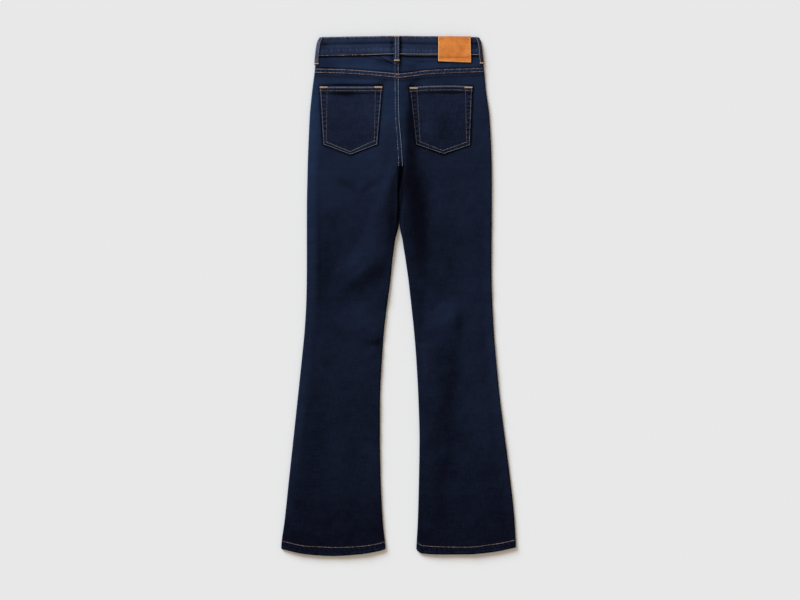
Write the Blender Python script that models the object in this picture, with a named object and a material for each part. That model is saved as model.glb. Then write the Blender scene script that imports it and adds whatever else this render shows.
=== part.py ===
"""Flared jeans laid flat on a level surface, back side up.

The frame is in metres: +Z stands up from the surface, +Y points to the waist and +X to the
wearer's right. The origin is on the surface, under the middle of the outline. Every piece is
one that a maker cuts and sews on. The front layer lies on the surface, the back layer lies on
the front layer, and both rise together in a soft ridge at the crotch.
"""

from bisect import bisect_right
from collections import namedtuple
from math import acos, cos, pi, radians, sin

import bmesh
import bpy
from mathutils import Vector

# Thickness of each piece.
CLOTH = 0.0018
HEM_EXTRA = 0.0008
BAND_CLOTH = 0.0023
POCKET_CLOTH = 0.0014
POCKET_HEM_EXTRA = 0.0007
FACING_CLOTH = 0.0013
LOOP_CLOTH = 0.0016
FLY_CLOTH = 0.0010
PATCH_LEATHER = 0.0016

# Clearances: between neighbours at a seam, and between a panel and what lies on it.
SEAM_GAP = 0.0003
HALF_SEAM = SEAM_GAP / 2
LAID_GAP = 0.0003

# The space between the two layers: at a turned edge, along a leg's middle, and at the waist.
EDGE_SPACE = 0.0027
LEG_SPACE = 0.0037
WAIST_SPACE = 0.0023
LEAST_SPACE = 0.0008
BAND_SPACE = 0.0020
OVERLAP_SPACE = BAND_CLOTH + 2.4 * SEAM_GAP
CENTRE_SPACE = 0.0008
DOME_REACH = 0.045

# Heights up the garment, as places along +Y.
HEM_STATION = -0.5206
HEM_DEPTH = 0.0170
KNEE_STATION = 0.0200
CROTCH_Y = 0.2637
CROTCH_SEAM_Y = 0.2685
CROTCH_CLOSED_Y = 0.1850
CROTCH_PARTED_Y = 0.1200
NOTCH_STATION = 0.2500
TORSO_STATION = 0.3000
WAIST_FADE = 0.160
YOKE_STATION = 0.4600
BAND_STATION = 0.4970
BAND_TOP_STATION = 0.5350

# Distances between the rows of points up a leg, and how soon its rows follow hem and top seam.
SHIN_PITCH = 0.042
THIGH_PITCH = 0.025
SEAT_PITCH = 0.025
HEM_FADE = 0.140
TOP_FADE = 0.100

# Turned edges: how far in from the outline the cloth starts to turn, and its facets.
PANEL_TURN = 0.0045
BAND_TURN = 0.0040
TURN_FACETS = 3
SEAM_SPREAD = 0.0020
INNER_CROWDING = 1.15

# Front pocket opening and the facing behind it.
SCOOP_WIDTH = 0.068
SCOOP_DEPTH = 0.072
FACING_OVERLAP = 0.010
FACING_START = 0.0028
FACING_STEP = CLOTH + LAID_GAP
FACING_SHELF = 0.0015
FACING_FALL = 0.0080
FRONT_TURN_END = 0.0080

# Waistband ends at the front, the button on them and the fly below them.
BAND_OVERLAP = 0.018
LAP_MARGIN = 0.003
LAP_FALL = 0.024
LAP_HALF = 0.036
LAP_FADE = 0.055
BUTTON_RADIUS = 0.0085
BUTTON_HEIGHT = 0.0028
BUTTON_BEVEL = 0.0007
BUTTON_Y = 0.5155
FLY_WIDTH = 0.036
FLY_BOTTOM_Y = 0.352
FLY_CURVE = 0.036
FLY_LAP = 0.0006

# Belt loops.
LOOP_WIDTH = 0.0111
LOOP_TOP_Y = 0.5335
LOOP_BOTTOM_Y = 0.4826
LOOP_ARCH = 0.0006
OVER_SEAM = 0.0008
BAND_STEP = 0.0045
FRONT_LOOP_X = 0.092
SIDE_LOOP_FLAT = 0.0037
SIDE_LOOP_DROP = 0.0015
SIDE_LOOP_UNDER = radians(18)

# Colours, roughness and metallic value of each material.
Finish = namedtuple("Finish", "colour roughness metallic")
FINISHES = {
    "denim": Finish((0.014, 0.022, 0.052), 0.88, 0.0),
    "waistband_denim": Finish((0.017, 0.026, 0.058), 0.86, 0.0),
    "pocket_denim": Finish((0.016, 0.022, 0.046), 0.90, 0.0),
    "leather": Finish((0.60, 0.23, 0.06), 0.55, 0.0),
    "metal": Finish((0.42, 0.26, 0.14), 0.38, 1.0),
}

# The outline: where each outer edge and each inner edge lies. Above the crotch both inner
# columns give the centre seam.
Section = namedtuple("Section", "y left_out left_in right_in right_out")
SECTIONS = (
    Section(-0.5350, -0.2425, -0.0262, 0.0352, 0.2420),
    Section(-0.5130, -0.2417, -0.0275, 0.0362, 0.2413),
    Section(-0.4614, -0.2349, -0.0329, 0.0392, 0.2384),
    Section(-0.3790, -0.2261, -0.0370, 0.0415, 0.2298),
    Section(-0.2966, -0.2172, -0.0386, 0.0427, 0.2193),
    Section(-0.2142, -0.2084, -0.0384, 0.0405, 0.2088),
    Section(-0.1318, -0.1997, -0.0345, 0.0362, 0.2007),
    Section(-0.0700, -0.1937, -0.0300, 0.0312, 0.1956),
    Section(-0.0082, -0.1902, -0.0224, 0.0246, 0.1925),
    Section(0.0330, -0.1894, -0.0168, 0.0199, 0.1913),
    Section(0.0742, -0.1892, -0.0129, 0.0141, 0.1911),
    Section(0.1154, -0.1892, -0.0075, 0.0079, 0.1913),
    Section(0.1566, -0.1892, -0.0030, 0.0048, 0.1917),
    Section(0.1978, -0.1890, -0.0009, 0.0022, 0.1917),
    Section(0.2400, -0.1881, -0.0011, 0.0068, 0.1917),
    Section(0.2637, -0.1876, -0.0013, 0.0094, 0.1916),
    Section(0.2685, -0.1875, 0.0048, 0.0048, 0.1915),
    Section(0.3214, -0.1855, 0.0013, 0.0013, 0.1896),
    Section(0.3730, -0.1830, -0.0026, -0.0026, 0.1864),
    Section(0.4244, -0.1779, -0.0034, -0.0034, 0.1795),
    Section(0.4656, -0.1727, -0.0038, -0.0038, 0.1756),
    Section(0.4944, -0.1702, -0.0038, -0.0038, 0.1713),
    Section(0.5191, -0.1668, -0.0038, -0.0038, 0.1684),
    Section(0.5350, -0.1600, -0.0038, -0.0038, 0.1625),
)

# How far each hem drops below its station, at shares of the way from inseam to side seam.
HemDrop = namedtuple("HemDrop", "share left right")
HEM_DROPS = (
    HemDrop(0.00, 0.0000, 0.0016),
    HemDrop(0.06, 0.0042, 0.0094),
    HemDrop(0.25, 0.0110, 0.0114),
    HemDrop(0.50, 0.0144, 0.0112),
    HemDrop(0.75, 0.0112, 0.0070),
    HemDrop(1.00, 0.0000, -0.0031),
)

# The yoke seam, at distances from the centre seam.
YokeSeam = namedtuple("YokeSeam", "reach left right")
YOKE_SEAM = (
    YokeSeam(0.000, 0.4490, 0.4495),
    YokeSeam(0.030, 0.4520, 0.4540),
    YokeSeam(0.060, 0.4545, 0.4580),
    YokeSeam(0.110, 0.4580, 0.4605),
    YokeSeam(0.180, 0.4602, 0.4625),
)

# The waistband's lower seam and its top edge, across the width.
BandEdge = namedtuple("BandEdge", "x seam top")
BAND_EDGES = (
    BandEdge(-0.175, 0.4950, 0.5325),
    BandEdge(-0.090, 0.4970, 0.5338),
    BandEdge(-0.004, 0.4990, 0.5348),
    BandEdge(0.085, 0.4978, 0.5342),
    BandEdge(0.175, 0.4966, 0.5325),
)

# The crotch ridge: how far it lifts both layers, how far its crest lies from each leg's inner
# edge, and how far the cloth takes to come down again.
Crest = namedtuple("Crest", "y lift left_crest left_reach right_crest right_reach")
CRESTS = (
    Crest(-0.0100, 0.0000, 0.062, 0.080, 0.000, 0.045),
    Crest(0.0500, 0.0010, 0.058, 0.085, 0.000, 0.048),
    Crest(0.1100, 0.0034, 0.046, 0.090, 0.000, 0.054),
    Crest(0.1650, 0.0066, 0.034, 0.095, 0.002, 0.060),
    Crest(0.2150, 0.0090, 0.020, 0.100, 0.003, 0.062),
    Crest(0.2620, 0.0100, 0.008, 0.105, 0.002, 0.060),
    Crest(0.3000, 0.0088, 0.000, 0.100, 0.000, 0.052),
    Crest(0.3500, 0.0054, 0.000, 0.090, 0.000, 0.044),
    Crest(0.4000, 0.0022, 0.000, 0.080, 0.000, 0.036),
    Crest(0.4500, 0.0000, 0.000, 0.070, 0.000, 0.030),
)
CREST_INNER_FALL = 0.35
CREST_FULL_WIDTH = 0.020
NOTCH_FALL = 0.60
NOTCH_REACH = 0.004

# Raised places that carry the front loops, the button and the fly beneath the front layer.
Mound = namedtuple("Mound", "x y half_x half_y fade height")
MOUNDS = (
    Mound(-FRONT_LOOP_X, 0.508, 0.008, 0.034, 0.045, 0.0022),
    Mound(FRONT_LOOP_X, 0.508, 0.008, 0.034, 0.045, 0.0022),
    Mound(-0.004, 0.520, 0.014, 0.016, 0.060, 0.0032),
    Mound(-0.021, 0.430, 0.022, 0.076, 0.050, 0.0014),
)

# The largest soft troughs in the back layer: middle, turn from +X, size and depth.
Fold = namedtuple("Fold", "x y turn length width depth")
FOLDS = (
    Fold(-0.070, 0.014, 40, 0.150, 0.064, 0.0020),
    Fold(-0.084, 0.232, 6, 0.100, 0.030, 0.0009),
    Fold(-0.050, -0.100, 20, 0.070, 0.036, 0.0014),
    Fold(-0.172, -0.276, 82, 0.420, 0.090, 0.0012),
    Fold(0.100, -0.235, 96, 0.560, 0.074, 0.0018),
    Fold(0.074, -0.078, 36, 0.110, 0.040, 0.0014),
)

# Back pockets: their corners, in order round the outline from the top left.
Pocket = namedtuple("Pocket", "side top_left top_right bottom_right tip bottom_left")
POCKETS = (
    Pocket(
        side="left",
        top_left=(-0.1633, 0.4316),
        top_right=(-0.0331, 0.4316),
        bottom_right=(-0.0432, 0.3117),
        tip=(-0.0992, 0.2905),
        bottom_left=(-0.1558, 0.3117),
    ),
    Pocket(
        side="right",
        top_left=(0.0219, 0.4299),
        top_right=(0.1523, 0.4312),
        bottom_right=(0.1470, 0.3105),
        tip=(0.0920, 0.2919),
        bottom_left=(0.0351, 0.3119),
    ),
)
POCKET_HEM = 0.0088

# The patch's edges.
PATCH_LEFT = 0.0802
PATCH_RIGHT = 0.1490
PATCH_BOTTOM = 0.4814
PATCH_TOP = 0.5340

Side = namedtuple("Side", "name sign")
SIDES = (Side("left", -1), Side("right", 1))


# Smooth curves through the tables.


def smooth(share):
    """0 below a share of 0, 1 above a share of 1, and an S-curve between."""
    share = min(max(share, 0.0), 1.0)
    return share * share * (3.0 - 2.0 * share)


def mix(first, second, share):
    return first + (second - first) * share


def plateau(distance, half, fade):
    """1 within half of the middle, falling smoothly to 0 over the fade."""
    return 1.0 - smooth((abs(distance) - half) / fade)


def joint_slope(before, after):
    """The slope at a table point between two spans: none at a turn, so nothing overshoots."""
    if before * after <= 0.0:
        return 0.0
    return 2.0 * before * after / (before + after)


def curve_value(places, values, at):
    """The value at a place on the smooth curve through the table's points."""
    at = min(max(at, places[0]), places[-1])
    last = len(places) - 2
    i = min(bisect_right(places, at) - 1, last)
    spans = [
        (values[k + 1] - values[k]) / (places[k + 1] - places[k])
        for k in range(max(i - 1, 0), min(i + 2, last + 1))
    ]
    here = 1 if i > 0 else 0
    start = joint_slope(spans[here - 1], spans[here]) if i > 0 else spans[here]
    end = joint_slope(spans[here], spans[here + 1]) if i < last else spans[here]
    width = places[i + 1] - places[i]
    t = (at - places[i]) / width
    return (
        values[i] * (1 + 2 * t) * (1 - t) ** 2
        + values[i + 1] * t * t * (3 - 2 * t)
        + width * t * (1 - t) * (start * (1 - t) - end * t)
    )


def table_curve(rows, place, column):
    """A function of the place, from one column of a table."""
    places = [getattr(row, place) for row in rows]
    values = [getattr(row, column) for row in rows]
    return lambda at: curve_value(places, values, at)


OUTER_EDGE = {side.sign: table_curve(SECTIONS, "y", side.name + "_out") for side in SIDES}
INNER_EDGE = {side.sign: table_curve(SECTIONS, "y", side.name + "_in") for side in SIDES}
HEM_DROP = {side.sign: table_curve(HEM_DROPS, "share", side.name) for side in SIDES}
YOKE_LINE = {side.sign: table_curve(YOKE_SEAM, "reach", side.name) for side in SIDES}
CREST_PLACE = {side.sign: table_curve(CRESTS, "y", side.name + "_crest") for side in SIDES}
CREST_REACH = {side.sign: table_curve(CRESTS, "y", side.name + "_reach") for side in SIDES}
CREST_LIFT = table_curve(CRESTS, "y", "lift")
BAND_SEAM = table_curve(BAND_EDGES, "x", "seam")
BAND_TOP = table_curve(BAND_EDGES, "x", "top")


def middle(y):
    """The line between the legs: the centre seam, then the middle of the gap."""
    return (INNER_EDGE[-1](y) + INNER_EDGE[1](y)) / 2


def inner_edge(sign, y):
    """A leg's inner edge: the centre seam above the crotch, and the inseam below it."""
    return middle(y) if y > CROTCH_SEAM_Y else INNER_EDGE[sign](y)


def sign_at(x, y):
    return -1 if x < middle(y) else 1


# Heights of the two layers.


def crotch_lift(x, y):
    """How far the crotch ridge lifts both layers."""
    sign = sign_at(x, y)
    inside = sign * (x - inner_edge(sign, y))
    beyond_crest = inside - CREST_PLACE[sign](y)
    if beyond_crest >= 0.0:
        share = plateau(beyond_crest, 0.0, CREST_REACH[sign](y))
    else:
        inner_width = max(CREST_PLACE[sign](y), SEAM_SPREAD)
        fall = CREST_INNER_FALL * smooth(inner_width / CREST_FULL_WIDTH)
        share = 1.0 - fall * smooth(-beyond_crest / inner_width)
    if inside < 0.0:
        share *= 1.0 - NOTCH_FALL * smooth(-inside / NOTCH_REACH)
    return CREST_LIFT(y) * share


def mound_height(x, y):
    """The smooth largest of the raised places."""
    total = 0.0
    for mound in MOUNDS:
        share = plateau(x - mound.x, mound.half_x, mound.fade)
        share *= plateau(y - mound.y, mound.half_y, mound.fade)
        total += (mound.height * share) ** 4
    return total**0.25


def fold_depth(x, y):
    """How far the soft troughs press the back layer down."""
    depth = 0.0
    for fold in FOLDS:
        turn = radians(fold.turn)
        along = (x - fold.x) * cos(turn) + (y - fold.y) * sin(turn)
        across = (y - fold.y) * cos(turn) - (x - fold.x) * sin(turn)
        share = plateau(along, 0.0, fold.length / 2) * plateau(across, 0.0, fold.width / 2)
        depth += fold.depth * share
    return depth


def layer_space(x, y):
    """The space between the front layer and the back layer."""
    sign = sign_at(x, y)
    edge_distance = sign * (OUTER_EDGE[sign](y) - x)
    if y < CROTCH_Y:
        edge_distance = min(edge_distance, sign * (x - INNER_EDGE[sign](y)))
    full = mix(LEG_SPACE, WAIST_SPACE, smooth((y - TORSO_STATION) / WAIST_FADE))
    edge = min(EDGE_SPACE, full)
    centre = CENTRE_SPACE * plateau(x - middle(y), BAND_OVERLAP, LAP_FADE)
    centre *= smooth((y - YOKE_STATION) / (BAND_STATION - YOKE_STATION))
    space = mix(edge, full, smooth(edge_distance / DOME_REACH)) + centre - fold_depth(x, y)
    return max(space, LEAST_SPACE)


def front_low(x, y):
    """The underside of the front layer."""
    return crotch_lift(x, y) + mound_height(x, y)


def back_high(x, y):
    """The upper side of the back layer."""
    return front_low(x, y) + CLOTH + layer_space(x, y) + CLOTH


def band_low(x, y):
    return mound_height(x, y)


def band_high(x, y):
    """The upper side of the waistband's back run, which clears the lapped ends at the front."""
    lapped = plateau(x - middle(y) - LAP_FALL / 2, LAP_HALF, LAP_FADE)
    space = mix(BAND_SPACE, OVERLAP_SPACE, lapped)
    return band_low(x, y) + BAND_CLOTH + space + BAND_CLOTH


def upper_side(x, y):
    """The highest face of the garment itself: the waistband, stepping down to the yoke."""
    below_seam = BAND_SEAM(x) - OVER_SEAM - y
    above = max(band_high(x, y), back_high(x, y))
    return mix(above, back_high(x, y), smooth(below_seam / BAND_STEP))


# Solids.


def make_material(name, finish):
    material = bpy.data.materials.new(name)
    material.use_nodes = True
    shader = material.node_tree.nodes["Principled BSDF"]
    shader.inputs["Base Color"].default_value = (*finish.colour, 1.0)
    shader.inputs["Roughness"].default_value = finish.roughness
    shader.inputs["Metallic"].default_value = finish.metallic
    material.diffuse_color = (*finish.colour, 1.0)
    return material


def add_object(name, mesh, finish_name):
    """A smooth-shaded object with its own material, from a bmesh."""
    data = bpy.data.meshes.new(name)
    bmesh.ops.recalc_face_normals(mesh, faces=mesh.faces)
    mesh.to_mesh(data)
    mesh.free()
    data.shade_smooth()
    data.set_sharp_from_angle(angle=radians(50))
    data.materials.append(make_material(name + "_" + finish_name, FINISHES[finish_name]))
    piece = bpy.data.objects.new(name, data)
    bpy.context.scene.collection.objects.link(piece)
    return piece


def border_of(rows, columns):
    """The places round the border of a grid, in order."""
    top = [(0, j) for j in range(columns)]
    right = [(i, columns - 1) for i in range(1, rows)]
    bottom = [(rows - 1, j) for j in range(columns - 2, -1, -1)]
    left = [(i, 0) for i in range(rows - 2, 0, -1)]
    return top + right + bottom + left


def fill_grid(mesh, points):
    """Adds a grid of points to a mesh, with two triangles between each four, and returns its verts."""
    verts = [[mesh.verts.new(point) for point in row] for row in points]
    for lower, upper in zip(verts, verts[1:]):
        for a, b, c, d in zip(lower, lower[1:], upper[1:], upper):
            mesh.faces.new((a, b, c))
            mesh.faces.new((a, c, d))
    return verts


def add_wall(name, outer, inner, finish_name):
    """One closed solid between two grids of points that match."""
    mesh = bmesh.new()
    outer_verts, inner_verts = fill_grid(mesh, outer), fill_grid(mesh, inner)
    border = border_of(len(outer), len(outer[0]))
    for (i, j), (k, m) in zip(border, border[1:] + border[:1]):
        mesh.faces.new((outer_verts[i][j], outer_verts[k][m], inner_verts[k][m], inner_verts[i][j]))
    return add_object(name, mesh, finish_name)


def cut_along(mesh, start, end, drop):
    """Cuts a mesh by the upright plane through two places, and drops what is to its right."""
    along = Vector((end[0] - start[0], end[1] - start[1], 0.0)).normalized()
    bmesh.ops.bisect_plane(
        mesh,
        geom=mesh.verts[:] + mesh.edges[:] + mesh.faces[:],
        dist=1e-6,
        plane_co=(*start, 0.0),
        plane_no=(along.y, -along.x, 0.0),
        clear_outer=drop,
    )


def add_cut_piece(name, panel, outline, lines, thickness, finish_name):
    """A piece cut from a panel's points to an outline that runs anticlockwise, and moved out."""
    mesh = bmesh.new()
    fill_grid(mesh, panel)
    for start, end in zip(outline, outline[1:] + outline[:1]):
        cut_along(mesh, start, end, drop=True)
    for start, end in lines:
        cut_along(mesh, start, end, drop=False)
    bmesh.ops.triangulate(mesh, faces=mesh.faces[:])
    lower = mesh.verts[:]
    made = bmesh.ops.extrude_face_region(mesh, geom=mesh.faces[:], use_keep_orig=True)
    upper = [item for item in made["geom"] if isinstance(item, bmesh.types.BMVert)]
    for vert in upper:
        vert.co.z += LAID_GAP + thickness(vert.co.x, vert.co.y)
    for vert in lower:
        vert.co.z += LAID_GAP
    return add_object(name, mesh, finish_name)


def add_laid(name, places, surface, thickness, finish_name, face=1):
    """A piece lying on a surface: each place's point, moved out from the surface."""
    inner = [[Vector((x, y, surface(x, y) + face * LAID_GAP)) for x, y in row] for row in places]
    outer = []
    for row in inner:
        outer.append([point + Vector((0, 0, face * thickness(point.x, point.y))) for point in row])
    return add_wall(name, outer, inner, finish_name)


# Panels: rows of points from the inner edge to the outer edge.

Row = namedtuple("Row", "inner_x outer_x inner_turn outer_turn y_of cloth")


def turn_columns(turn):
    """The angles of a turned edge's columns and the extra step in of each, from the edge inwards."""
    start = (1.0 - turn) * pi / 2
    columns = []
    for k in range(TURN_FACETS + 1):
        angle = mix(start, pi / 2, k / TURN_FACETS)
        columns.append((angle, k * SEAM_SPREAD * (1.0 - turn)))
    return columns


def edge_points(edge_x, inwards, turn, face, row, low, high):
    """The outer and inner points of one turned or flat edge, from the edge inwards."""
    start = (1.0 - turn) * pi / 2
    centre_x = edge_x + inwards * PANEL_TURN * cos(start)
    y = row.y_of(centre_x)
    middle_z = (low(centre_x, y) + high(centre_x, y)) / 2
    outer, inner = [], []
    for angle, step in turn_columns(turn):
        shift = inwards * step
        full = high(centre_x + shift, y) if face > 0 else low(centre_x + shift, y)
        height = abs(full - middle_z)
        x = centre_x - inwards * PANEL_TURN * cos(angle) + shift
        outer_z = middle_z + face * max(height * sin(angle), HALF_SEAM)
        inner_x = centre_x - inwards * (PANEL_TURN - row.cloth) * cos(angle) + shift
        inner_z = middle_z + face * max((height - row.cloth) * sin(angle), HALF_SEAM)
        outer.append(Vector((x, y, outer_z)))
        inner.append(Vector((inner_x, y, inner_z)))
    return outer, inner


def panel_row(row, sign, face, flat_columns, low, high):
    """One row of a panel's outer and inner points."""
    inner_out, inner_in = edge_points(row.inner_x, sign, row.inner_turn, face, row, low, high)
    outer_out, outer_in = edge_points(row.outer_x, -sign, row.outer_turn, face, row, low, high)
    start_x, end_x = inner_out[-1].x, outer_out[-1].x
    outer, inner = [], []
    for k in range(1, flat_columns):
        x = mix(start_x, end_x, (k / flat_columns) ** INNER_CROWDING)
        y = row.y_of(x)
        full = high(x, y) if face > 0 else low(x, y)
        outer.append(Vector((x, y, full)))
        inner.append(Vector((x, y, full - face * row.cloth)))
    return inner_out + outer + outer_out[::-1], inner_in + inner + outer_in[::-1]


def add_panel(name, rows, sign, face, flat_columns, finish_name, low=front_low, high=back_high):
    """A panel's solid, from its rows. It returns the grid of the panel's outer points."""
    made = [panel_row(row, sign, face, flat_columns, low, high) for row in rows]
    outer, inner = [row[0] for row in made], [row[1] for row in made]
    add_wall(name, outer, inner, finish_name)
    return outer


def spaced(start, end, pitch):
    """Even places from the start up to, but not including, the end."""
    count = max(1, round((end - start) / pitch))
    return [mix(start, end, i / count) for i in range(count)]


def leg_stations(top):
    """The rows that every leg panel shares, from the hem up."""
    hem_top = HEM_STATION + HEM_DEPTH
    return (
        [HEM_STATION, hem_top - HEM_EXTRA / 2, hem_top + HEM_EXTRA / 2]
        + spaced(hem_top + HEM_DEPTH, KNEE_STATION, SHIN_PITCH)
        + spaced(KNEE_STATION, NOTCH_STATION, THIGH_PITCH)
        + [NOTCH_STATION, CROTCH_Y, CROTCH_SEAM_Y]
        + spaced(CROTCH_SEAM_Y + HEM_DEPTH, top, SEAT_PITCH)
        + [top]
    )


def hem_shift(sign, x):
    """How far the hem lies below its station."""
    inner, outer = INNER_EDGE[sign](HEM_STATION), OUTER_EDGE[sign](HEM_STATION)
    return HEM_DROP[sign](min(max((x - inner) / (outer - inner), 0.0), 1.0))


def station_line(sign, station, top_station, top_line):
    """The line across a leg at a station: straight, but following the hem and the top seam."""
    hem_share = 1.0 - smooth((station - HEM_STATION) / HEM_FADE)
    top_share = smooth((station - top_station + TOP_FADE) / TOP_FADE)
    return lambda x: (
        station - hem_share * hem_shift(sign, x) + top_share * (top_line(x) - HALF_SEAM - top_station)
    )


def cloth_at(station):
    return CLOTH + (HEM_EXTRA if station < HEM_STATION + HEM_DEPTH else 0.0)


def edge_at(edge, line, start):
    """Where an edge crosses a line that depends on x."""
    x = edge(start)
    for _ in range(3):
        x = edge(line(x))
    return x


def yoke_line(sign, x):
    return YOKE_LINE[sign](abs(x - middle(YOKE_STATION)))


def add_back_leg(side):
    """A back leg, from the hem to the yoke seam."""
    sign = side.sign
    rows = []
    for station in leg_stations(YOKE_STATION):
        line = station_line(sign, station, YOKE_STATION, lambda x: yoke_line(sign, x))
        turn = 1.0 if station <= CROTCH_Y else 0.0
        inner_x = edge_at(INNER_EDGE[sign] if turn else middle, line, station) + sign * HALF_SEAM
        outer_x = edge_at(OUTER_EDGE[sign], line, station)
        rows.append(Row(inner_x, outer_x, turn, 1.0, line, cloth_at(station)))
    return add_panel("back_leg_" + side.name, rows, sign, 1, 10, "denim")


def add_yoke(side):
    """A yoke, from the yoke seam to the waistband."""
    sign = side.sign
    rows = []
    for share in (0.0, 0.35, 0.70, 1.0):

        def line(x, share=share):
            return mix(yoke_line(sign, x) + HALF_SEAM, BAND_SEAM(x) - HALF_SEAM, share)

        start = mix(YOKE_STATION, BAND_STATION, share)
        inner_x = edge_at(middle, line, start) + sign * HALF_SEAM
        outer_x = edge_at(OUTER_EDGE[sign], line, start)
        rows.append(Row(inner_x, outer_x, 0.0, 1.0, line, CLOTH))
    add_panel("yoke_" + side.name, rows, sign, 1, 10, "denim")


def scoop_angle(rise):
    """The angle round the pocket opening's quarter ellipse at a rise above its lowest point."""
    return acos(1.0 - rise / SCOOP_DEPTH)


def scoop_rows():
    """The stations and inward reaches of the front pocket opening, from the side seam up."""
    bottom = BAND_STATION - SCOOP_DEPTH
    angles = [pi / 2 * k / 6 for k in range(7)]
    return [(bottom + SCOOP_DEPTH * (1 - cos(angle)), SCOOP_WIDTH * sin(angle)) for angle in angles]


def front_inner(sign, station, line):
    """A front leg's inner edge and how far it is turned: the legs part a little below the crotch."""
    parted = smooth((CROTCH_CLOSED_Y - station) / (CROTCH_CLOSED_Y - CROTCH_PARTED_Y))
    closed_x = edge_at(middle, line, station) + sign * HALF_SEAM
    return mix(closed_x, edge_at(INNER_EDGE[sign], line, station), parted), parted


def add_front_leg(side):
    """A front leg, from the hem to the waistband, with the pocket opening cut from its corner."""
    sign = side.sign
    scoop = scoop_rows()
    turned = leg_stations(scoop[0][0] - FRONT_TURN_END)
    stations = [(station, None) for station in turned] + scoop
    rows = []
    for station, reach in stations:
        line = station_line(sign, station, BAND_STATION, BAND_SEAM)
        inner_x, turn = front_inner(sign, station, line)
        outer_x = edge_at(OUTER_EDGE[sign], line, station) - sign * (reach or 0.0)
        outer_turn = 1.0 if reach is None else 0.0
        rows.append(Row(inner_x, outer_x, turn, outer_turn, line, cloth_at(station)))
    add_panel("front_leg_" + side.name, rows, sign, -1, 7, "denim")


def add_facing(side):
    """The denim behind a front pocket opening: over the front leg's edge, then down to its level."""
    sign = side.sign
    bottom = BAND_STATION - SCOOP_DEPTH

    def opening_x(y):
        rise = min(max(y - bottom, 0.0), SCOOP_DEPTH)
        return OUTER_EDGE[sign](y) - sign * SCOOP_WIDTH * sin(scoop_angle(rise))

    def facing_low(x, y):
        outside = sign * (x - opening_x(y))
        return front_low(x, y) + FACING_STEP * (1.0 - smooth((outside - FACING_SHELF) / FACING_FALL))

    rows = []
    for share in (0.0, 0.10, 0.25, 0.5, 0.75, 1.0):
        station = mix(bottom + FACING_START, BAND_STATION, share)
        line = station_line(sign, station, BAND_STATION, BAND_SEAM)
        inner_x = edge_at(opening_x, line, station) - sign * FACING_OVERLAP
        outer_x = edge_at(OUTER_EDGE[sign], line, station)
        rows.append(Row(inner_x, outer_x, 0.0, 1.0, line, FACING_CLOTH))
    add_panel("front_pocket_facing_" + side.name, rows, sign, -1, 8, "denim", low=facing_low)


# The waistband: one strip, all the way round, with its ends lapped at the centre front.


def band_end_low(x, y):
    """The underside of the right end, which rises over the left end."""
    over = 1.0 - smooth((x - middle(y) - BAND_OVERLAP - LAP_MARGIN) / LAP_FALL)
    return band_low(x, y) + (BAND_CLOTH + SEAM_GAP) * over


def band_turn(sign, y):
    """The outer and inner points of the waistband round one side, from its underside to its top."""
    centre_x = OUTER_EDGE[sign](y) - sign * BAND_TURN
    low, high = band_low(centre_x, y), band_high(centre_x, y)
    middle_z, height = (low + high) / 2, (high - low) / 2
    outer, inner = [], []
    for k in range(7):
        angle = mix(-pi / 2, pi / 2, k / 6)
        outward = Vector((sign * cos(angle), 0.0, sin(angle)))
        centre = Vector((centre_x, y, middle_z))
        outer.append(centre + Vector((outward.x * BAND_TURN, 0.0, outward.z * height)))
        inside = (BAND_TURN - BAND_CLOTH, height - BAND_CLOTH)
        inner.append(centre + Vector((outward.x * inside[0], 0.0, outward.z * inside[1])))
    return outer, inner


def band_run(start_x, end_x, count, y, height_of, inward):
    """Points along a flat run of the waistband, without its two ends."""
    outer, inner = [], []
    for k in range(1, count):
        x = mix(start_x, end_x, k / count)
        z = height_of(x, y)
        outer.append(Vector((x, y, z)))
        inner.append(Vector((x, y, z + inward * BAND_CLOTH)))
    return outer, inner


def band_row(share):
    """One row round the waistband, at a share of the way from its seam to its top edge."""

    def line(x):
        return mix(BAND_SEAM(x) + HALF_SEAM, BAND_TOP(x), share)

    nominal = mix(BAND_STATION, BAND_TOP_STATION, share)
    y = line(0.0)
    centre = middle(nominal)
    left_x = edge_at(OUTER_EDGE[-1], line, nominal) + BAND_TURN
    right_x = edge_at(OUTER_EDGE[1], line, nominal) - BAND_TURN
    left_turn, right_turn = band_turn(-1, line(left_x)), band_turn(1, line(right_x))
    left_front = band_run(centre + BAND_OVERLAP, left_x, 10, y, band_low, 1)
    back = band_run(left_x, right_x, 22, y, band_high, -1)
    right_front = band_run(right_x, centre - BAND_OVERLAP, 11, y, band_end_low, 1)
    outer, inner = [], []
    for k, grid in enumerate((outer, inner)):
        left_end = Vector((centre + BAND_OVERLAP, y, band_low(centre + BAND_OVERLAP, y) + k * BAND_CLOTH))
        right_end_z = band_end_low(centre - BAND_OVERLAP, y) + k * BAND_CLOTH
        grid.append(left_end)
        grid.extend(left_front[k] + left_turn[k] + back[k] + right_turn[k][::-1] + right_front[k])
        grid.append(Vector((centre - BAND_OVERLAP, y, right_end_z)))
        for point in grid:
            point.y = line(point.x)
    return outer, inner


def add_waistband():
    made = [band_row(share) for share in (0.0, 0.25, 0.5, 0.75, 1.0)]
    add_wall("waistband", [outer for outer, _ in made], [inner for _, inner in made], "waistband_denim")


# Pieces that lie on the panels.


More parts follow.
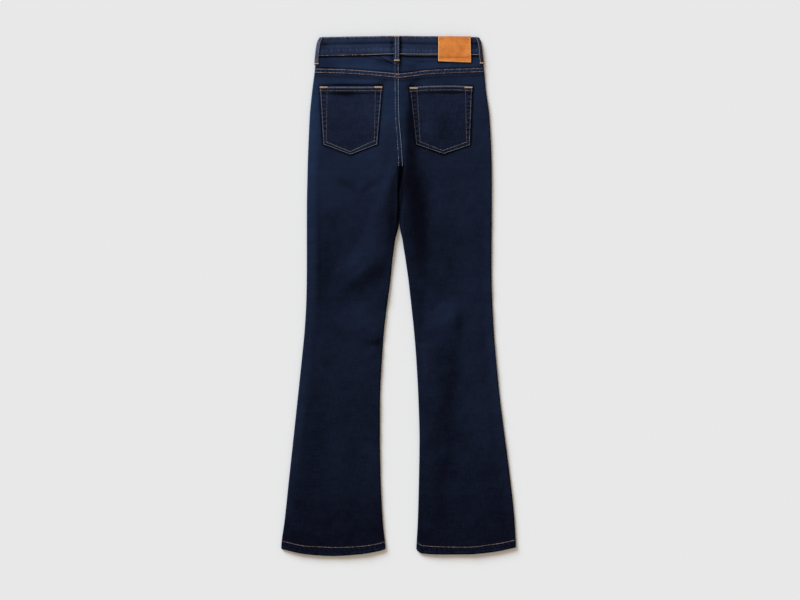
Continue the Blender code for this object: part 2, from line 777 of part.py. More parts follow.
def add_back_pocket(pocket, panel):
    """A patch pocket with a pointed bottom edge, thicker along its turned top edge."""
    outline = [pocket.top_left, pocket.bottom_left, pocket.tip, pocket.bottom_right, pocket.top_right]
    left, right = Vector(pocket.top_left), Vector(pocket.top_right)
    hem_lines = []
    for depth in (POCKET_HEM, POCKET_HEM + POCKET_HEM_EXTRA):
        down = Vector((0.0, depth))
        hem_lines.append((left - down, right - down))
    hem_y = (left.y + right.y) / 2 - POCKET_HEM

    def thickness(x, y):
        return POCKET_CLOTH + POCKET_HEM_EXTRA * smooth((y - hem_y + POCKET_HEM_EXTRA) / POCKET_HEM_EXTRA)

    name = "back_pocket_" + pocket.side
    add_cut_piece(name, panel, outline, hem_lines, thickness, "pocket_denim")


def rows_over_band(bottom, top, x):
    """The rows of a piece that lies over the waistband's seam, close together at the step."""
    step_top = BAND_SEAM(x) - OVER_SEAM
    step_bottom = step_top - BAND_STEP - SEAM_GAP
    below = [bottom, mix(bottom, step_bottom, 0.6), step_bottom]
    return below + [mix(step_top, top, share) for share in (0.0, 0.25, 0.5, 0.75, 1.0)]


def add_patch():
    """The leather patch, over the waistband and down onto the yoke."""
    rows = []
    for y in rows_over_band(PATCH_BOTTOM, PATCH_TOP, (PATCH_LEFT + PATCH_RIGHT) / 2):
        rows.append([(mix(PATCH_LEFT, PATCH_RIGHT, k / 6), y) for k in range(7)])
    add_laid("leather_patch", rows, upper_side, lambda x, y: PATCH_LEATHER, "leather")


def loop_places(centre, y):
    """Four places across a belt loop."""
    return [(centre + LOOP_WIDTH * (k / 3 - 0.5), y) for k in range(4)]


def add_centre_loop():
    """The loop over the centre back, arched a little over the waistband."""
    centre = middle(BAND_STATION)
    band_middle = (BAND_STATION + BAND_TOP_STATION) / 2
    band_half = (BAND_TOP_STATION - BAND_STATION) / 2

    def surface(x, y):
        return upper_side(x, y) + LOOP_ARCH * plateau(y - band_middle, 0.0, band_half)

    rows = [loop_places(centre, y) for y in rows_over_band(LOOP_BOTTOM_Y, LOOP_TOP_Y, centre)]
    add_laid("belt_loop_centre_back", rows, surface, lambda x, y: LOOP_CLOTH, "waistband_denim")


def add_front_loop(side):
    """A loop on the front, under the waistband."""
    rows = []
    for share in (0.0, 0.25, 0.5, 0.75, 1.0):
        y = mix(LOOP_TOP_Y, LOOP_BOTTOM_Y, share)
        rows.append(loop_places(side.sign * FRONT_LOOP_X, y))
    name = "belt_loop_front_" + side.name
    add_laid(name, rows, front_low, lambda x, y: LOOP_CLOTH, "waistband_denim", face=-1)


def side_loop_row(sign, y):
    """One row of a side loop: flat on the back, then turned round the side."""
    above = y > BAND_SEAM(OUTER_EDGE[sign](y)) - OVER_SEAM - SEAM_GAP
    turn = BAND_TURN if above else PANEL_TURN
    centre_x = OUTER_EDGE[sign](y) - sign * turn
    low = band_low(centre_x, y) if above else front_low(centre_x, y)
    high = upper_side(centre_x, y)
    middle_z, height = (low + high) / 2, (high - low) / 2
    outer, inner = [], []
    for grid, gap in ((outer, LAID_GAP + LOOP_CLOTH), (inner, LAID_GAP)):
        for share in (1.0, 0.5):
            x = centre_x - sign * SIDE_LOOP_FLAT * share
            grid.append(Vector((x, y, upper_side(x, y) + gap)))
        for k in range(6):
            angle = mix(pi / 2, -SIDE_LOOP_UNDER, k / 5)
            x = centre_x + sign * (turn + gap) * cos(angle)
            grid.append(Vector((x, y, middle_z + (height + gap) * sin(angle))))
    return outer, inner


def add_side_loop(side):
    side_x = OUTER_EDGE[side.sign](BAND_STATION)
    places = rows_over_band(LOOP_BOTTOM_Y, LOOP_TOP_Y - SIDE_LOOP_DROP, side_x)
    made = [side_loop_row(side.sign, y) for y in places]
    name = "belt_loop_side_" + side.name
    add_wall(name, [outer for outer, _ in made], [inner for _, inner in made], "waistband_denim")


def add_fly():
    """The fly's lap on the left front, rounded at its lower end."""
    centre = middle(BAND_STATION)
    rows = []
    for share in (0.0, 0.25, 0.5, 0.75):
        y = mix(BAND_SEAM(centre) - OVER_SEAM, FLY_BOTTOM_Y + FLY_CURVE, share)
        rows.append((FLY_WIDTH, y))
    for angle in (0, 25, 45, 62, 76, 85):
        turned = radians(angle)
        rows.append((FLY_WIDTH * cos(turned), FLY_BOTTOM_Y + FLY_CURVE * (1 - sin(turned))))
    places = [[(middle(y) + FLY_LAP - width * k / 4, y) for k in range(5)] for width, y in rows]
    add_laid("fly_lap", places, front_low, lambda x, y: FLY_CLOTH, "denim", face=-1)


def add_button():
    """The waist button, lying face down."""
    mesh = bmesh.new()
    bmesh.ops.create_cone(
        mesh,
        cap_ends=True,
        segments=24,
        radius1=BUTTON_RADIUS,
        radius2=BUTTON_RADIUS,
        depth=BUTTON_HEIGHT,
    )
    rims = [edge for edge in mesh.edges if abs(edge.verts[0].co.z - edge.verts[1].co.z) < 1e-6]
    bmesh.ops.bevel(mesh, geom=rims, offset=BUTTON_BEVEL, segments=1, affect="EDGES")
    button = add_object("waist_button", mesh, "metal")
    button.location = (middle(BUTTON_Y), BUTTON_Y, BUTTON_HEIGHT / 2)


def clear_scene():
    for old in list(bpy.data.objects):
        bpy.data.objects.remove(old, do_unlink=True)


def build():
    clear_scene()
    for side, pocket in zip(SIDES, POCKETS):
        add_front_leg(side)
        add_facing(side)
        add_back_pocket(pocket, add_back_leg(side))
        add_yoke(side)
        add_side_loop(side)
        add_front_loop(side)
    add_waistband()
    add_centre_loop()
    add_patch()
    add_fly()
    add_button()


build()
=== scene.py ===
"""Flared jeans laid flat on a pale floor, dressed in denim, thread, leather and metal."""

import logging
from collections.abc import Callable, Sequence
from dataclasses import astuple, dataclass, field
from enum import Enum
from math import atan2, cos, degrees, pi, radians, sin

import bpy
import numpy as np
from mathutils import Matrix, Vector
from mathutils.bvhtree import BVHTree
from numpy.typing import NDArray


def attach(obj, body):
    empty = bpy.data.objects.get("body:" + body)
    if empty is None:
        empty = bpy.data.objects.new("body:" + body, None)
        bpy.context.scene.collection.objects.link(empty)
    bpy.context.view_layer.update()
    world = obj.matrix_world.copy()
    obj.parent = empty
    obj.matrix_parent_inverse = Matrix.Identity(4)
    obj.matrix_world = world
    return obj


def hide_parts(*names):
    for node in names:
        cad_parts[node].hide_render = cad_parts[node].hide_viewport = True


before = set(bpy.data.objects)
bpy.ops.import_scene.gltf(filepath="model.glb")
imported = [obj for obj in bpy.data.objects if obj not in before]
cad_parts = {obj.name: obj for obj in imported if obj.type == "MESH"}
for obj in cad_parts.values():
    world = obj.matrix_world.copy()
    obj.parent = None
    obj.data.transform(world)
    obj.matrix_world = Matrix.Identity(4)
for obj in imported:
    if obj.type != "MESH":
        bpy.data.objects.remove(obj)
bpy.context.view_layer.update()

Array = NDArray[np.float64]
Numbers = float | Array
Curve = Callable[[Numbers], Array]
Height = Callable[[Numbers, Numbers], Array]
Line = tuple[Array, Array]
Places = Array | Sequence[Sequence[float]]
Colour = tuple[float, float, float]
Material = bpy.types.Material
Socket = bpy.types.NodeSocket
Tree = bpy.types.NodeTree

LOG = logging.getLogger("flared_jeans")
ROOT = "root"
MM = 0.001
SPOT_UNITS = (MM, MM, 1, MM, MM, 1)
RIM = (0.0003, 0.0007, 0.0012)


class Side(Enum):
    """The wearer's sides, by the sign of their X."""

    LEFT = -1
    RIGHT = 1

    @property
    def label(self) -> str:
        """The side's name in a piece's name."""
        return self.name.lower()


class Face(Enum):
    """Which way the outer side of a layer looks."""

    UNDER = -1
    UPPER = 1


class Hold(Enum):
    """How a sheet of cloth is held."""

    LAID = "laid"
    FOLDED = "folded"


class Slot(Enum):
    """The record's material slots."""

    DENIM = "denim"
    BAND = "waistband_denim"
    POCKET = "pocket_denim"
    LEATHER = "leather"
    METAL = "metal"


# Smooth shares and curves.


def smooth(share: Numbers) -> Array:
    """An S-curve from 0 at a share of 0 to 1 at a share of 1, held outside them."""
    held = np.clip(share, 0.0, 1.0)
    return held * held * (3.0 - 2.0 * held)


def mix(first: Numbers, second: Numbers, share: Numbers) -> Array:
    """The value at a share of the way from the first to the second."""
    return first + (second - first) * share


def plateau(distance: Numbers, half: float, fade: Numbers) -> Array:
    """1 within half of the middle, falling smoothly to 0 over the fade."""
    return 1.0 - smooth((np.abs(distance) - half) / fade)


def strip(distance: Numbers, place: tuple[float, float, float]) -> Array:
    """1 on a strip, given by the distance of its middle, its half width and its fade."""
    middle, half, fade = place
    return plateau(distance - middle, half, fade)


def bell(distance: Numbers, width: float) -> Array:
    """A soft bump of height 1 that is about twice the width across."""
    return np.exp(-((distance / width) ** 2))


def waves(x: Array, turn: Array, rows: Places) -> Array:
    """A sum of waves whose phases sway from side to side.

    Args:
        x: X of each place.
        turn: The angle of each place round the waves.
        rows: Size, rate, phase, sway, rate of the sway and its phase for each wave.

    Returns:
        The sum.
    """
    total = np.zeros_like(x)
    for size, rate, phase, sway, sway_rate, sway_phase in rows:
        angle = rate * turn + phase + sway * np.sin(sway_rate * x + sway_phase)
        total = total + size * np.sin(angle)
    return total


def even(start: float, end: float, pitch: float) -> Array:
    """Even places, about a pitch apart, from the start up to, but not including, the end."""
    count = max(1, round((end - start) / pitch))
    return start + (end - start) * np.arange(count) / count


def crowded(length: float, pitch: float, rim: Sequence[float]) -> Array:
    """Shares of a length with extra places near both of its ends.

    Args:
        length: The length that the shares divide.
        pitch: The spacing along the middle.
        rim: Distances of the extra places from each end.

    Returns:
        The shares, from 0 to 1.
    """
    near = np.array([0.0, *rim])
    inside = even(near[-1], length - near[-1], pitch)[1:]
    return np.concatenate([near, inside, (length - near)[::-1]]) / length


def turned(x: Numbers, y: Numbers, at_x: float, at_y: float, turn: float) -> Line:
    """Distances from a place along and across a direction, in degrees from +X."""
    c, s = cos(radians(turn)), sin(radians(turn))
    return (x - at_x) * c + (y - at_y) * s, (y - at_y) * c - (x - at_x) * s


def points_of(x: Numbers, y: Numbers, z: Numbers) -> Array:
    """Points from their coordinates, any of which may be a single number."""
    return np.stack(np.broadcast_arrays(x, y, z), axis=-1)


class SmoothTable:
    """Smooth curves through the columns of a short table, with no overshoot at a turn."""

    def __init__(self, columns: str, rows: Places, units: float | Sequence[float] = 1.0) -> None:
        """Reads the table.

        Args:
            columns: The columns' names, the first being the place.
            rows: The rows, in order of place.
            units: The unit of all columns, or of each.
        """
        values = np.array(rows, float) * units
        self.places = values[:, 0]
        self.columns = {name: values[:, k] for k, name in enumerate(columns.split())}
        self.slopes = {name: self._slopes(column) for name, column in self.columns.items()}

    def _slopes(self, values: Array) -> Array:
        """The slope at each row of a column.

        Args:
            values: The column.

        Returns:
            The harmonic mean of the spans beside each row, and 0 where the column turns.
        """
        spans = np.diff(values) / np.diff(self.places)
        before, after = spans[:-1], spans[1:]
        same = before * after > 0.0
        total = np.where(same, before + after, 1.0)
        inner = np.where(same, 2.0 * before * after / total, 0.0)
        return np.concatenate([spans[:1], inner, spans[-1:]])

    def at(self, column: str, where: Numbers) -> Array:
        """The value of a column's curve.

        Args:
            column: The column's name.
            where: The places to read it at.

        Returns:
            The values, held at the ends of the table.
        """
        values, slopes = self.columns[column], self.slopes[column]
        held = np.clip(where, self.places[0], self.places[-1])
        i = np.clip(np.searchsorted(self.places, held, side="right") - 1, 0, len(values) - 2)
        width = self.places[i + 1] - self.places[i]
        t = (held - self.places[i]) / width
        ends = values[i] * (1 + 2 * t) * (1 - t) ** 2 + values[i + 1] * t * t * (3 - 2 * t)
        return ends + width * t * (1 - t) * (slopes[i] * (1 - t) - slopes[i + 1] * t)

    def at_side(self, column: str, sign: Numbers, where: Numbers) -> Array:
        """The value of the left or the right one of two columns, by the side's sign."""
        left, right = (self.at(f"{side.label}_{column}", where) for side in Side)
        return np.where(np.asarray(sign) < 0, left, right)


# The garment's outline, seams and largest forms, in millimetres where MM stands beside them.

SECTIONS = SmoothTable(
    "y left_out left_in right_in right_out",
    (
        (-535, -242.5, -26.2, 35.2, 242), (-513, -241.7, -27.5, 36.2, 241.3),
        (-461.4, -234.9, -32.9, 39.2, 238.4), (-379, -226.1, -37, 41.5, 229.8),
        (-296.6, -217.2, -38.6, 42.7, 219.3), (-214.2, -208.4, -38.4, 40.5, 208.8),
        (-131.8, -199.7, -34.5, 36.2, 200.7), (-70, -193.7, -30, 31.2, 195.6),
        (-8.2, -190.2, -22.4, 24.6, 192.5), (33, -189.4, -16.8, 19.9, 191.3),
        (74.2, -189.2, -12.9, 14.1, 191.1), (115.4, -189.2, -7.5, 7.9, 191.3),
        (156.6, -189.2, -3, 4.8, 191.7), (197.8, -189, -0.9, 2.2, 191.7),
        (240, -188.1, -1.1, 6.8, 191.7), (263.7, -187.6, -1.3, 9.4, 191.6),
        (268.5, -187.5, 4.8, 4.8, 191.5), (321.4, -185.5, 1.3, 1.3, 189.6),
        (373, -183, -2.6, -2.6, 186.4), (424.4, -177.9, -3.4, -3.4, 179.5),
        (465.6, -172.7, -3.8, -3.8, 175.6), (494.4, -170.2, -3.8, -3.8, 171.3),
        (519.1, -166.8, -3.8, -3.8, 168.4), (535, -160, -3.8, -3.8, 162.5),
    ),
    MM,
)
HEM_DROPS = SmoothTable(
    "share left right",
    (
        (0, 0, 1.6), (0.06, 4.2, 9.4), (0.25, 11, 11.4), (0.5, 14.4, 11.2), (0.75, 11.2, 7),
        (1, 0, -3.1),
    ),
    (1, MM, MM),
)
YOKE_SEAM = SmoothTable(
    "reach left right",
    (
        (0, 448.2, 447.2), (30, 451.2, 450.6), (60, 453.6, 454.6), (110, 456.8, 457.2),
        (180, 458.8, 460),
    ),
    MM,
)
BAND_EDGES = SmoothTable(
    "x seam top row",
    (
        (-175, 492.6, 532.5, 1.6), (-90, 494, 533.8, 1.6), (-4, 496, 534.8, 1.6),
        (20, 493, 534.7, 4.2), (78, 492.6, 534.3, 4.6), (150, 495, 533, 1.6),
        (175, 495, 532.5, 1.6),
    ),
    MM,
)
CRESTS = SmoothTable(
    "y lift left_crest left_reach right_crest right_reach",
    (
        (-10, 0, 62, 80, 0, 45), (50, 1, 58, 85, 0, 48), (110, 3.4, 46, 90, 0, 54),
        (165, 6.6, 34, 95, 2, 60), (215, 9, 20, 100, 3, 62), (262, 10, 8, 105, 2, 60),
        (300, 8.8, 0, 100, 0, 52), (350, 5.4, 0, 90, 0, 44), (400, 2.2, 0, 80, 0, 36),
        (450, 0, 0, 70, 0, 30),
    ),
    MM,
)
# Raised places over the front loops, button and fly: x, y, half sizes, fade, height.
MOUNDS = np.array((
    (-92, 508, 8, 34, 45, 2.2), (92, 508, 8, 34, 45, 2.2), (-4, 520, 14, 16, 60, 3.2),
    (-21, 430, 22, 76, 50, 1.4),
)) * MM
# The largest soft troughs: middle, turn in degrees from +X, length, width, depth.
TROUGHS = np.array((
    (-70, 14, 40, 150, 64, 2), (-84, 232, 6, 100, 30, 0.9), (-50, -100, 20, 70, 36, 1.4),
    (-172, -276, 82, 420, 90, 1.2), (100, -235, 96, 560, 74, 1.8), (74, -78, 36, 110, 40, 1.4),
)) * (MM, MM, 1, MM, MM, MM)
# Creases of the back layer: start, end, width and height, which is negative in a trough.
CREASES = np.array((
    (-12, 264, -29, 200, 10, 1.2), (-29, 205, -56, 115, 13, 1), (-8, 235, -19, 170, 9, -1),
    (-126.6, 239, -76, 214, 8, -0.8), (-76, 214, -48, 235, 8, -0.7), (-115, 266, -60, 256, 9, 0.7),
    (-24, 66, -110, -12, 17, -0.5), (-24, 90, -115, 16, 12, 0.7), (-35, 35, -100, 5, 13, -0.5),
    (-38, 13, -101, -16, 11, 0.8), (-35, -96, -68, -108, 7, -0.4), (-35, -86, -70, -96, 6, 0.8),
    (43, -60, 115, -8.2, 9, 1.2), (52, -78, 124, -28, 10, -1.2), (31, -92, 56, -101, 5, -1),
    (36, -104, 64, -113, 6, 0.7), (83, -40, 76, -470, 18, 0.7), (105, -60, 98, -450, 19, -0.6),
    (150, -150, 175, -490, 18, 0.8), (-212, -220, -229, -500, 12, 0.8),
    (-188, -180, -183, -480, 20, -0.8), (-120, -200, -122, -500, 18, 0.7),
    (-66, -180, -60, -460, 14, -0.5), (-42, 486, -13, 474, 4, -1.1), (-36, 490, -10, 480, 3.6, 0.9),
    (-56, 485, -22, 479, 4.5, 0.7), (5, 488, 38, 480, 4.5, -0.8), (8, 480, 33, 472, 4.5, 0.6),
    (13, 440, 9, 330, 8, -0.7), (156, 430, 170, 330, 10, -0.6), (-172, 430, -179, 300, 10, 0.6),
    (-150, 287, -100, 283, 7, -0.5), (40, 290, 85, 285, 8, -0.5), (105, 296, 160, 305, 8, 0.5),
    (60, 200, 130, 176, 12, -0.6), (50, 150, 150, 132, 14, 0.6), (-170, 130, -100, 150, 14, -0.6),
    (-180, 70, -120, 50, 12, 0.6), (140, 50, 185, 32, 10, -0.6), (30, 80, 70, 62, 10, -0.6),
    (-160, 520, 75, 520, 4.5, -0.9), (-155, 506.5, -10, 508.5, 5.5, 0.6),
    (4, 508.5, 74, 507, 5.5, 0.5),
)) * MM
# Spots of the cloth's tone: worn places, and painted shade and highlights where creases, seam laps,
# pocket edges and belt loops shade or catch the light: x, y, turn in degrees, half length, half
# width, amount.
WEAR_AND_SHADE_SPOTS = np.array((
    (23.5, 365, 90, 70, 12, -0.55), (10, 300, 88, 30, 4, 0.2), (-24, 290, 80, 40, 10, -0.14),
    (28, 245, 90, 85, 18, -0.34), (45, 165, 92, 70, 20, -0.3), (46, 90, 90, 50, 14, -0.16),
    (45, -10, 0, 14, 20, -0.12), (-75, 95, 48, 62, 22, 0.26), (-72, -45, -20, 45, 28, 0.17),
    (98, -25, 52, 34, 23, 0.2), (150, 20, 90, 110, 34, 0.13), (52, -130, 90, 30, 8, 0.14),
    (50, -280, 90, 40, 6, 0.12), (-146, 225, 90, 35, 30, 0.14), (-65, -320, 90, 60, 30, 0.1),
    (120, 360, 0, 80, 80, -0.14), (100, 260, 0, 70, 60, -0.08), (-12, 190, 80, 60, 9, -0.24),
    (-38, 200, 70, 70, 14, 0.12), (101, -215, 85, 200, 20, -0.13), (84, -45, 33, 32, 12, 0.36),
    (46, -50, 90, 18, 6, -0.14), (83, -132, 90, 30, 12, -0.1), (112, -160, 84, 34, 12, -0.09),
    (90, -305, 88, 36, 9, 0.13), (124, -56, 88, 26, 8, -0.16), (-76, 29, 40, 50, 10, -0.05),
    (-80, 53, 40, 50, 6, 0.12), (-47, -97, 10, 12, 6, -0.12), (45, -107, -12, 12, 6, -0.12),
    (-218, -360, 85, 130, 12, 0.03), (-172, -330, 85, 140, 18, -0.06),
    (-122, -360, 90, 120, 14, 0.05), (-101, 226.5, -27, 26, 7, -0.2),
    (-62, 224.5, 37, 18, 7, -0.22), (-163, 90, 90, 110, 3.4, -0.1), (-150, 60, 90, 60, 16, -0.08),
    (-44, 40, 44, 26, 16, -0.12), (-78, 10, 36, 24, 16, -0.08), (-56, -12, 30, 20, 12, 0.14),
    (-110, -50, 0, 22, 14, 0.14), (-41.5, -98, 86, 22, 7, -0.16), (-12, 135, 84, 36, 8, -0.24),
    (-102, 434, 0, 40, 2.6, -1.2), (94, 345, 70, 22, 14, -0.2), (58, 352, 90, 26, 10, 0.16),
    (-58, 385, 100, 30, 12, 0.1), (-110, 345, 10, 30, 20, -0.06), (-34, 439, 25, 14, 5, -0.34),
    (-44, 434.5, 0, 10, 3, -0.4), (30, 438, 38, 20, 6, -0.32), (-30, 479, -28, 20, 3, -0.26),
    (172, -255, 90, 60, 28, 0.15), (130, -482, 0, 60, 30, 0.05), (86, -390, 88, 60, 14, -0.03),
    (106, -120, 0, 22, 24, -0.05), (6, 248, 88, 18, 3, -0.4), (15, 240, 88, 30, 9, -0.16),
    (-46, 507.5, 0, 24, 4.5, 0.34), (24, 507.5, 0, 10, 4.5, 0.22), (-122, 515, 0, 34, 4, 0.26),
    (-122, 503.2, 0, 34, 3.4, -0.5), (-152, 515, 90, 20, 7, -0.28), (159, 512, 90, 24, 7, -0.42),
    (4.2, 504, 90, 36, 2.4, -1.2), (-13.8, 504, 90, 26, 3.4, -0.6),
    (-24.5, 487.4, -27, 20, 1.4, 0.62), (-23.5, 483.2, -28, 18, 1.8, -0.9),
    (-48, 490.5, -12, 20, 1.4, 0.3), (-48, 486.8, -14, 20, 2.2, -0.45),
    (48, 482, 4, 22, 2.4, -0.35), (38, 479, -6, 20, 1.8, 0.26), (20, 488.5, 3, 16, 1, 0.3),
    (-148, 474, 0, 22, 16, -0.34), (-75, 468, 0, 45, 12, 0.2), (-80, 443, 0, 40, 7, 0.3),
    (177, 385, 90, 50, 20, -0.16), (85, 442.5, 0, 40, 8, -0.2), (-5, 474, 90, 18, 1, -0.3),
    (1.8, 474, 90, 18, 1, -0.55),
)) * SPOT_UNITS
# Wear across the waistband, with painted shade in its trough, by the share of the way from its seam
# to its top edge.
BAND_WEAR_AND_SHADE = SmoothTable(
    "share wear",
    (
        (0, -0.3), (0.1, 0), (0.19, 0.2), (0.28, 0.42), (0.34, 0.18), (0.39, -0.08), (0.48, 0),
        (0.54, -0.06), (0.615, -0.5), (0.66, -0.46), (0.72, -0.02), (0.85, 0.26), (0.93, 0.42),
        (1, 0.25),
    ),
)
# How far the row of stitches lies from the hem's edge.
HEM_ROWS = SmoothTable(
    "x away",
    (
        (-225, 16.9), (-190, 17.2), (-165, 18), (-130, 17.9), (-100, 16.9), (-50, 16), (50, 16.7),
        (85, 16.3), (110, 15.7), (140, 15.2), (160, 15.4), (185, 16.3), (220, 15.8),
    ),
    MM,
)
# Painted shadow in the cleft between the thighs, dark on both layers, in the same form as a row of
# the spot table above.
CLEFT_SHADOW = np.array((3.5, 223, 87.5, 40, 3.6, -1.8)) * SPOT_UNITS
PATCH_BOX = (0.0812, 0.149, 0.4814, 0.534)
# Tone along the garment, lighter at the top and darker towards the hem, and a painted highlight
# along each leg's outer side where light catches its rounded edge: y, tone, left side, right side.
TONE_AND_SIDE_HIGHLIGHT = SmoothTable(
    "y fade left_side right_side",
    (
        (-540, 0.04, 0, 0), (-480, 0.07, 0.05, 0.03), (-380, 0.17, 0.1, 0.06),
        (-255, 0.2, 0.26, 0.12), (-130, 0.3, 0.15, 0.14), (-10, 0.23, 0.22, 0.14),
        (115, 0.25, 0.36, 0.11), (200, 0.37, 0.32, 0.02), (270, 0.46, 0.42, 0),
        (380, 0.68, 0.38, 0), (445, 0.74, 0.12, 0), (480, 0.86, 0, 0), (540, 0.8, 0, 0),
    ),
    (MM, 1, 1, 1),
)


@dataclass(frozen=True)
class Form:
    """The shape of the two layers: outline, heights, and the soft ridge at the crotch."""

    cloth: float = 0.0018
    hem_extra: float = 0.0008
    band_cloth: float = 0.0023
    laid_gap: float = 0.0003
    edge_space: float = 0.0027
    leg_space: float = 0.0037
    waist_space: float = 0.0023
    least_space: float = 0.0008
    band_space: float = 0.002
    overlap_space: float = 0.00302
    centre_space: float = 0.0008
    dome_reach: float = 0.045
    closing: float = 0.034
    hem_station: float = -0.5206
    hem_depth: float = 0.017
    crotch_y: float = 0.2637
    crotch_seam_y: float = 0.2685
    parting: float = 0.03
    least_crest: float = 0.002
    wide_crest: float = 0.02
    crest_fall: float = 0.35
    past_middle: float = 0.004
    past_fall: float = 0.6
    torso_station: float = 0.3
    waist_fade: float = 0.16
    yoke_station: float = 0.46
    band_station: float = 0.497
    band_top_station: float = 0.535
    hem_fade: float = 0.14
    top_fade: float = 0.1
    panel_turn: float = 0.0045
    band_turn: float = 0.004
    over_seam: float = 0.0008
    band_step: float = 0.0045
    overlap: float = 0.018
    lap_margin: float = 0.003
    lap_fall: float = 0.024
    lap_half: float = 0.036
    lap_fade: float = 0.055
    rest: float = 0.0005
    fell_half: float = 0.0044
    fell_height: float = 0.0007
    fell_side: float = 0.0009
    fell_start: float = 0.012
    band_fade: float = 0.004
    patch_shadow: float = 1.05
    patch_rim: float = 0.0006
    patch_fades: tuple[float, float] = (0.0042, 0.0026)
    hidden_broad: float = 0.5
    broad_spot: float = 0.0119
    side_worn: float = 0.008
    side_fade: float = 0.018
    ripple_seed: int = 7
    ripple_count: int = 26
    ripple_height: float = 0.00009

    # Outline.

    def outer_edge(self, sign: Numbers, y: Numbers) -> Array:
        """X of the outer edge on the side of that sign."""
        return SECTIONS.at_side("out", sign, y)

    def inseam(self, sign: Numbers, y: Numbers) -> Array:
        """X of a leg's inner edge on the side of that sign."""
        return SECTIONS.at_side("in", sign, y)

    def middle(self, y: Numbers) -> Array:
        """X of the line between the legs: the centre seam, then the middle of the gap."""
        return (SECTIONS.at("left_in", y) + SECTIONS.at("right_in", y)) / 2

    def inner_edge(self, sign: Numbers, y: Numbers) -> Array:
        """X of the centre seam above the crotch, and of the inseam below it."""
        return np.where(np.asarray(y) > self.crotch_seam_y, self.middle(y), self.inseam(sign, y))

    def sign_at(self, x: Numbers, y: Numbers) -> Array:
        """The sign of the side that a place is on."""
        return np.where(x < self.middle(y), -1.0, 1.0)

    def hem_shift(self, sign: int, x: Numbers) -> Array:
        """How far the hem lies below its station.

        Args:
            sign: The side's sign.
            x: Places across.

        Returns:
            The shift.
        """
        inner = self.inseam(sign, self.hem_station)
        outer = self.outer_edge(sign, self.hem_station)
        return HEM_DROPS.at(Side(sign).label, np.clip((x - inner) / (outer - inner), 0.0, 1.0))

    def yoke_line(self, sign: int, x: Numbers) -> Array:
        """Y of the yoke seam."""
        return YOKE_SEAM.at(Side(sign).label, np.abs(x - self.middle(self.yoke_station)))

    def band_seam(self, x: Numbers) -> Array:
        """Y of the waistband's lower seam."""
        return BAND_EDGES.at("seam", x)

    def band_top(self, x: Numbers) -> Array:
        """Y of the waistband's top edge."""
        return BAND_EDGES.at("top", x)

    def station_line(self, sign: int, station: float, top_station: float, top_line: Curve) -> Curve:
        """The line across a leg at a station: straight, but following the hem and the top seam.

        Args:
            sign: The side's sign.
            station: The line's nominal height.
            top_station: The nominal height of the panel's top seam.
            top_line: Y of that seam at a place across.

        Returns:
            Y of the line at a place across.
        """
        hem_share = 1.0 - smooth((station - self.hem_station) / self.hem_fade)
        top_share = smooth((station - top_station + self.top_fade) / self.top_fade)

        def line(x: Numbers) -> Array:
            """Y at a place across."""
            lifted = top_share * (top_line(x) - top_station)
            return station - hem_share * self.hem_shift(sign, x) + lifted

        return line

    # Heights.

    def crotch_lift(self, x: Numbers, y: Numbers) -> Array:
        """How far the crotch ridge lifts both layers.

        Args:
            x: Places across.
            y: Places up the garment.

        Returns:
            The lift.
        """
        sign = self.sign_at(x, y)
        crest, reach = CRESTS.at_side("crest", sign, y), CRESTS.at_side("reach", sign, y)
        parted = sign * (self.inseam(sign, y) - self.middle(y))
        parted = parted * smooth((self.crotch_seam_y - y) / self.parting)
        inside = sign * (x - self.middle(y)) - np.where(y < self.crotch_seam_y, parted, 0.0)
        beyond = inside - crest
        inner_width = np.maximum(crest, self.least_crest)
        fall = self.crest_fall * smooth(inner_width / self.wide_crest)
        near = 1.0 - fall * smooth(-beyond / inner_width)
        share = np.where(beyond >= 0.0, plateau(np.maximum(beyond, 0.0), 0.0, reach), near)
        past = self.past_fall * smooth(-inside / self.past_middle)
        share = share * np.where(inside < 0.0, 1.0 - past, 1.0)
        return CRESTS.at("lift", y) * share

    def mound_height(self, x: Numbers, y: Numbers) -> Array:
        """The smooth largest of the raised places, which is also the waistband's underside.

        Args:
            x: Places across.
            y: Places along.

        Returns:
            The height.
        """
        total = 0.0
        for mound_x, mound_y, half_x, half_y, fade, height in MOUNDS:
            share = plateau(x - mound_x, half_x, fade) * plateau(y - mound_y, half_y, fade)
            total = total + (height * share) ** 4
        return total**0.25

    def trough_depth(self, x: Numbers, y: Numbers) -> Array:
        """How far the soft troughs press the back layer down.

        Args:
            x: Places across.
            y: Places along.

        Returns:
            The depth.
        """
        depth = 0.0
        for *place, length, width, deepest in TROUGHS:
            along, across = turned(x, y, *place)
            share = plateau(along, 0.0, length / 2) * plateau(across, 0.0, width / 2)
            depth = depth + deepest * share
        return depth

    def edge_distance(self, x: Numbers, y: Numbers) -> Array:
        """How far inside the outline a place is.

        Args:
            x: Places across.
            y: Places along.

        Returns:
            The distance.
        """
        sign = self.sign_at(x, y)
        outer = sign * (self.outer_edge(sign, y) - x)
        inner = sign * (x - self.inseam(sign, y))
        closing = self.dome_reach * smooth((y - self.crotch_y) / self.closing + 1.0)
        return np.where(np.asarray(y) < self.crotch_y, np.minimum(outer, inner + closing), outer)

    def layer_space(self, x: Numbers, y: Numbers) -> Array:
        """The space between the front layer and the back layer.

        Args:
            x: Places across.
            y: Places along.

        Returns:
            The space.
        """
        to_waist = smooth((y - self.torso_station) / self.waist_fade)
        full = mix(self.leg_space, self.waist_space, to_waist)
        edge = np.minimum(self.edge_space, full)
        centre = self.centre_space * plateau(x - self.middle(y), self.overlap, self.lap_fade)
        rise = (y - self.yoke_station) / (self.band_station - self.yoke_station)
        domed = mix(edge, full, smooth(self.edge_distance(x, y) / self.dome_reach))
        space = domed + centre * smooth(rise) - self.trough_depth(x, y)
        return np.maximum(space, self.least_space)

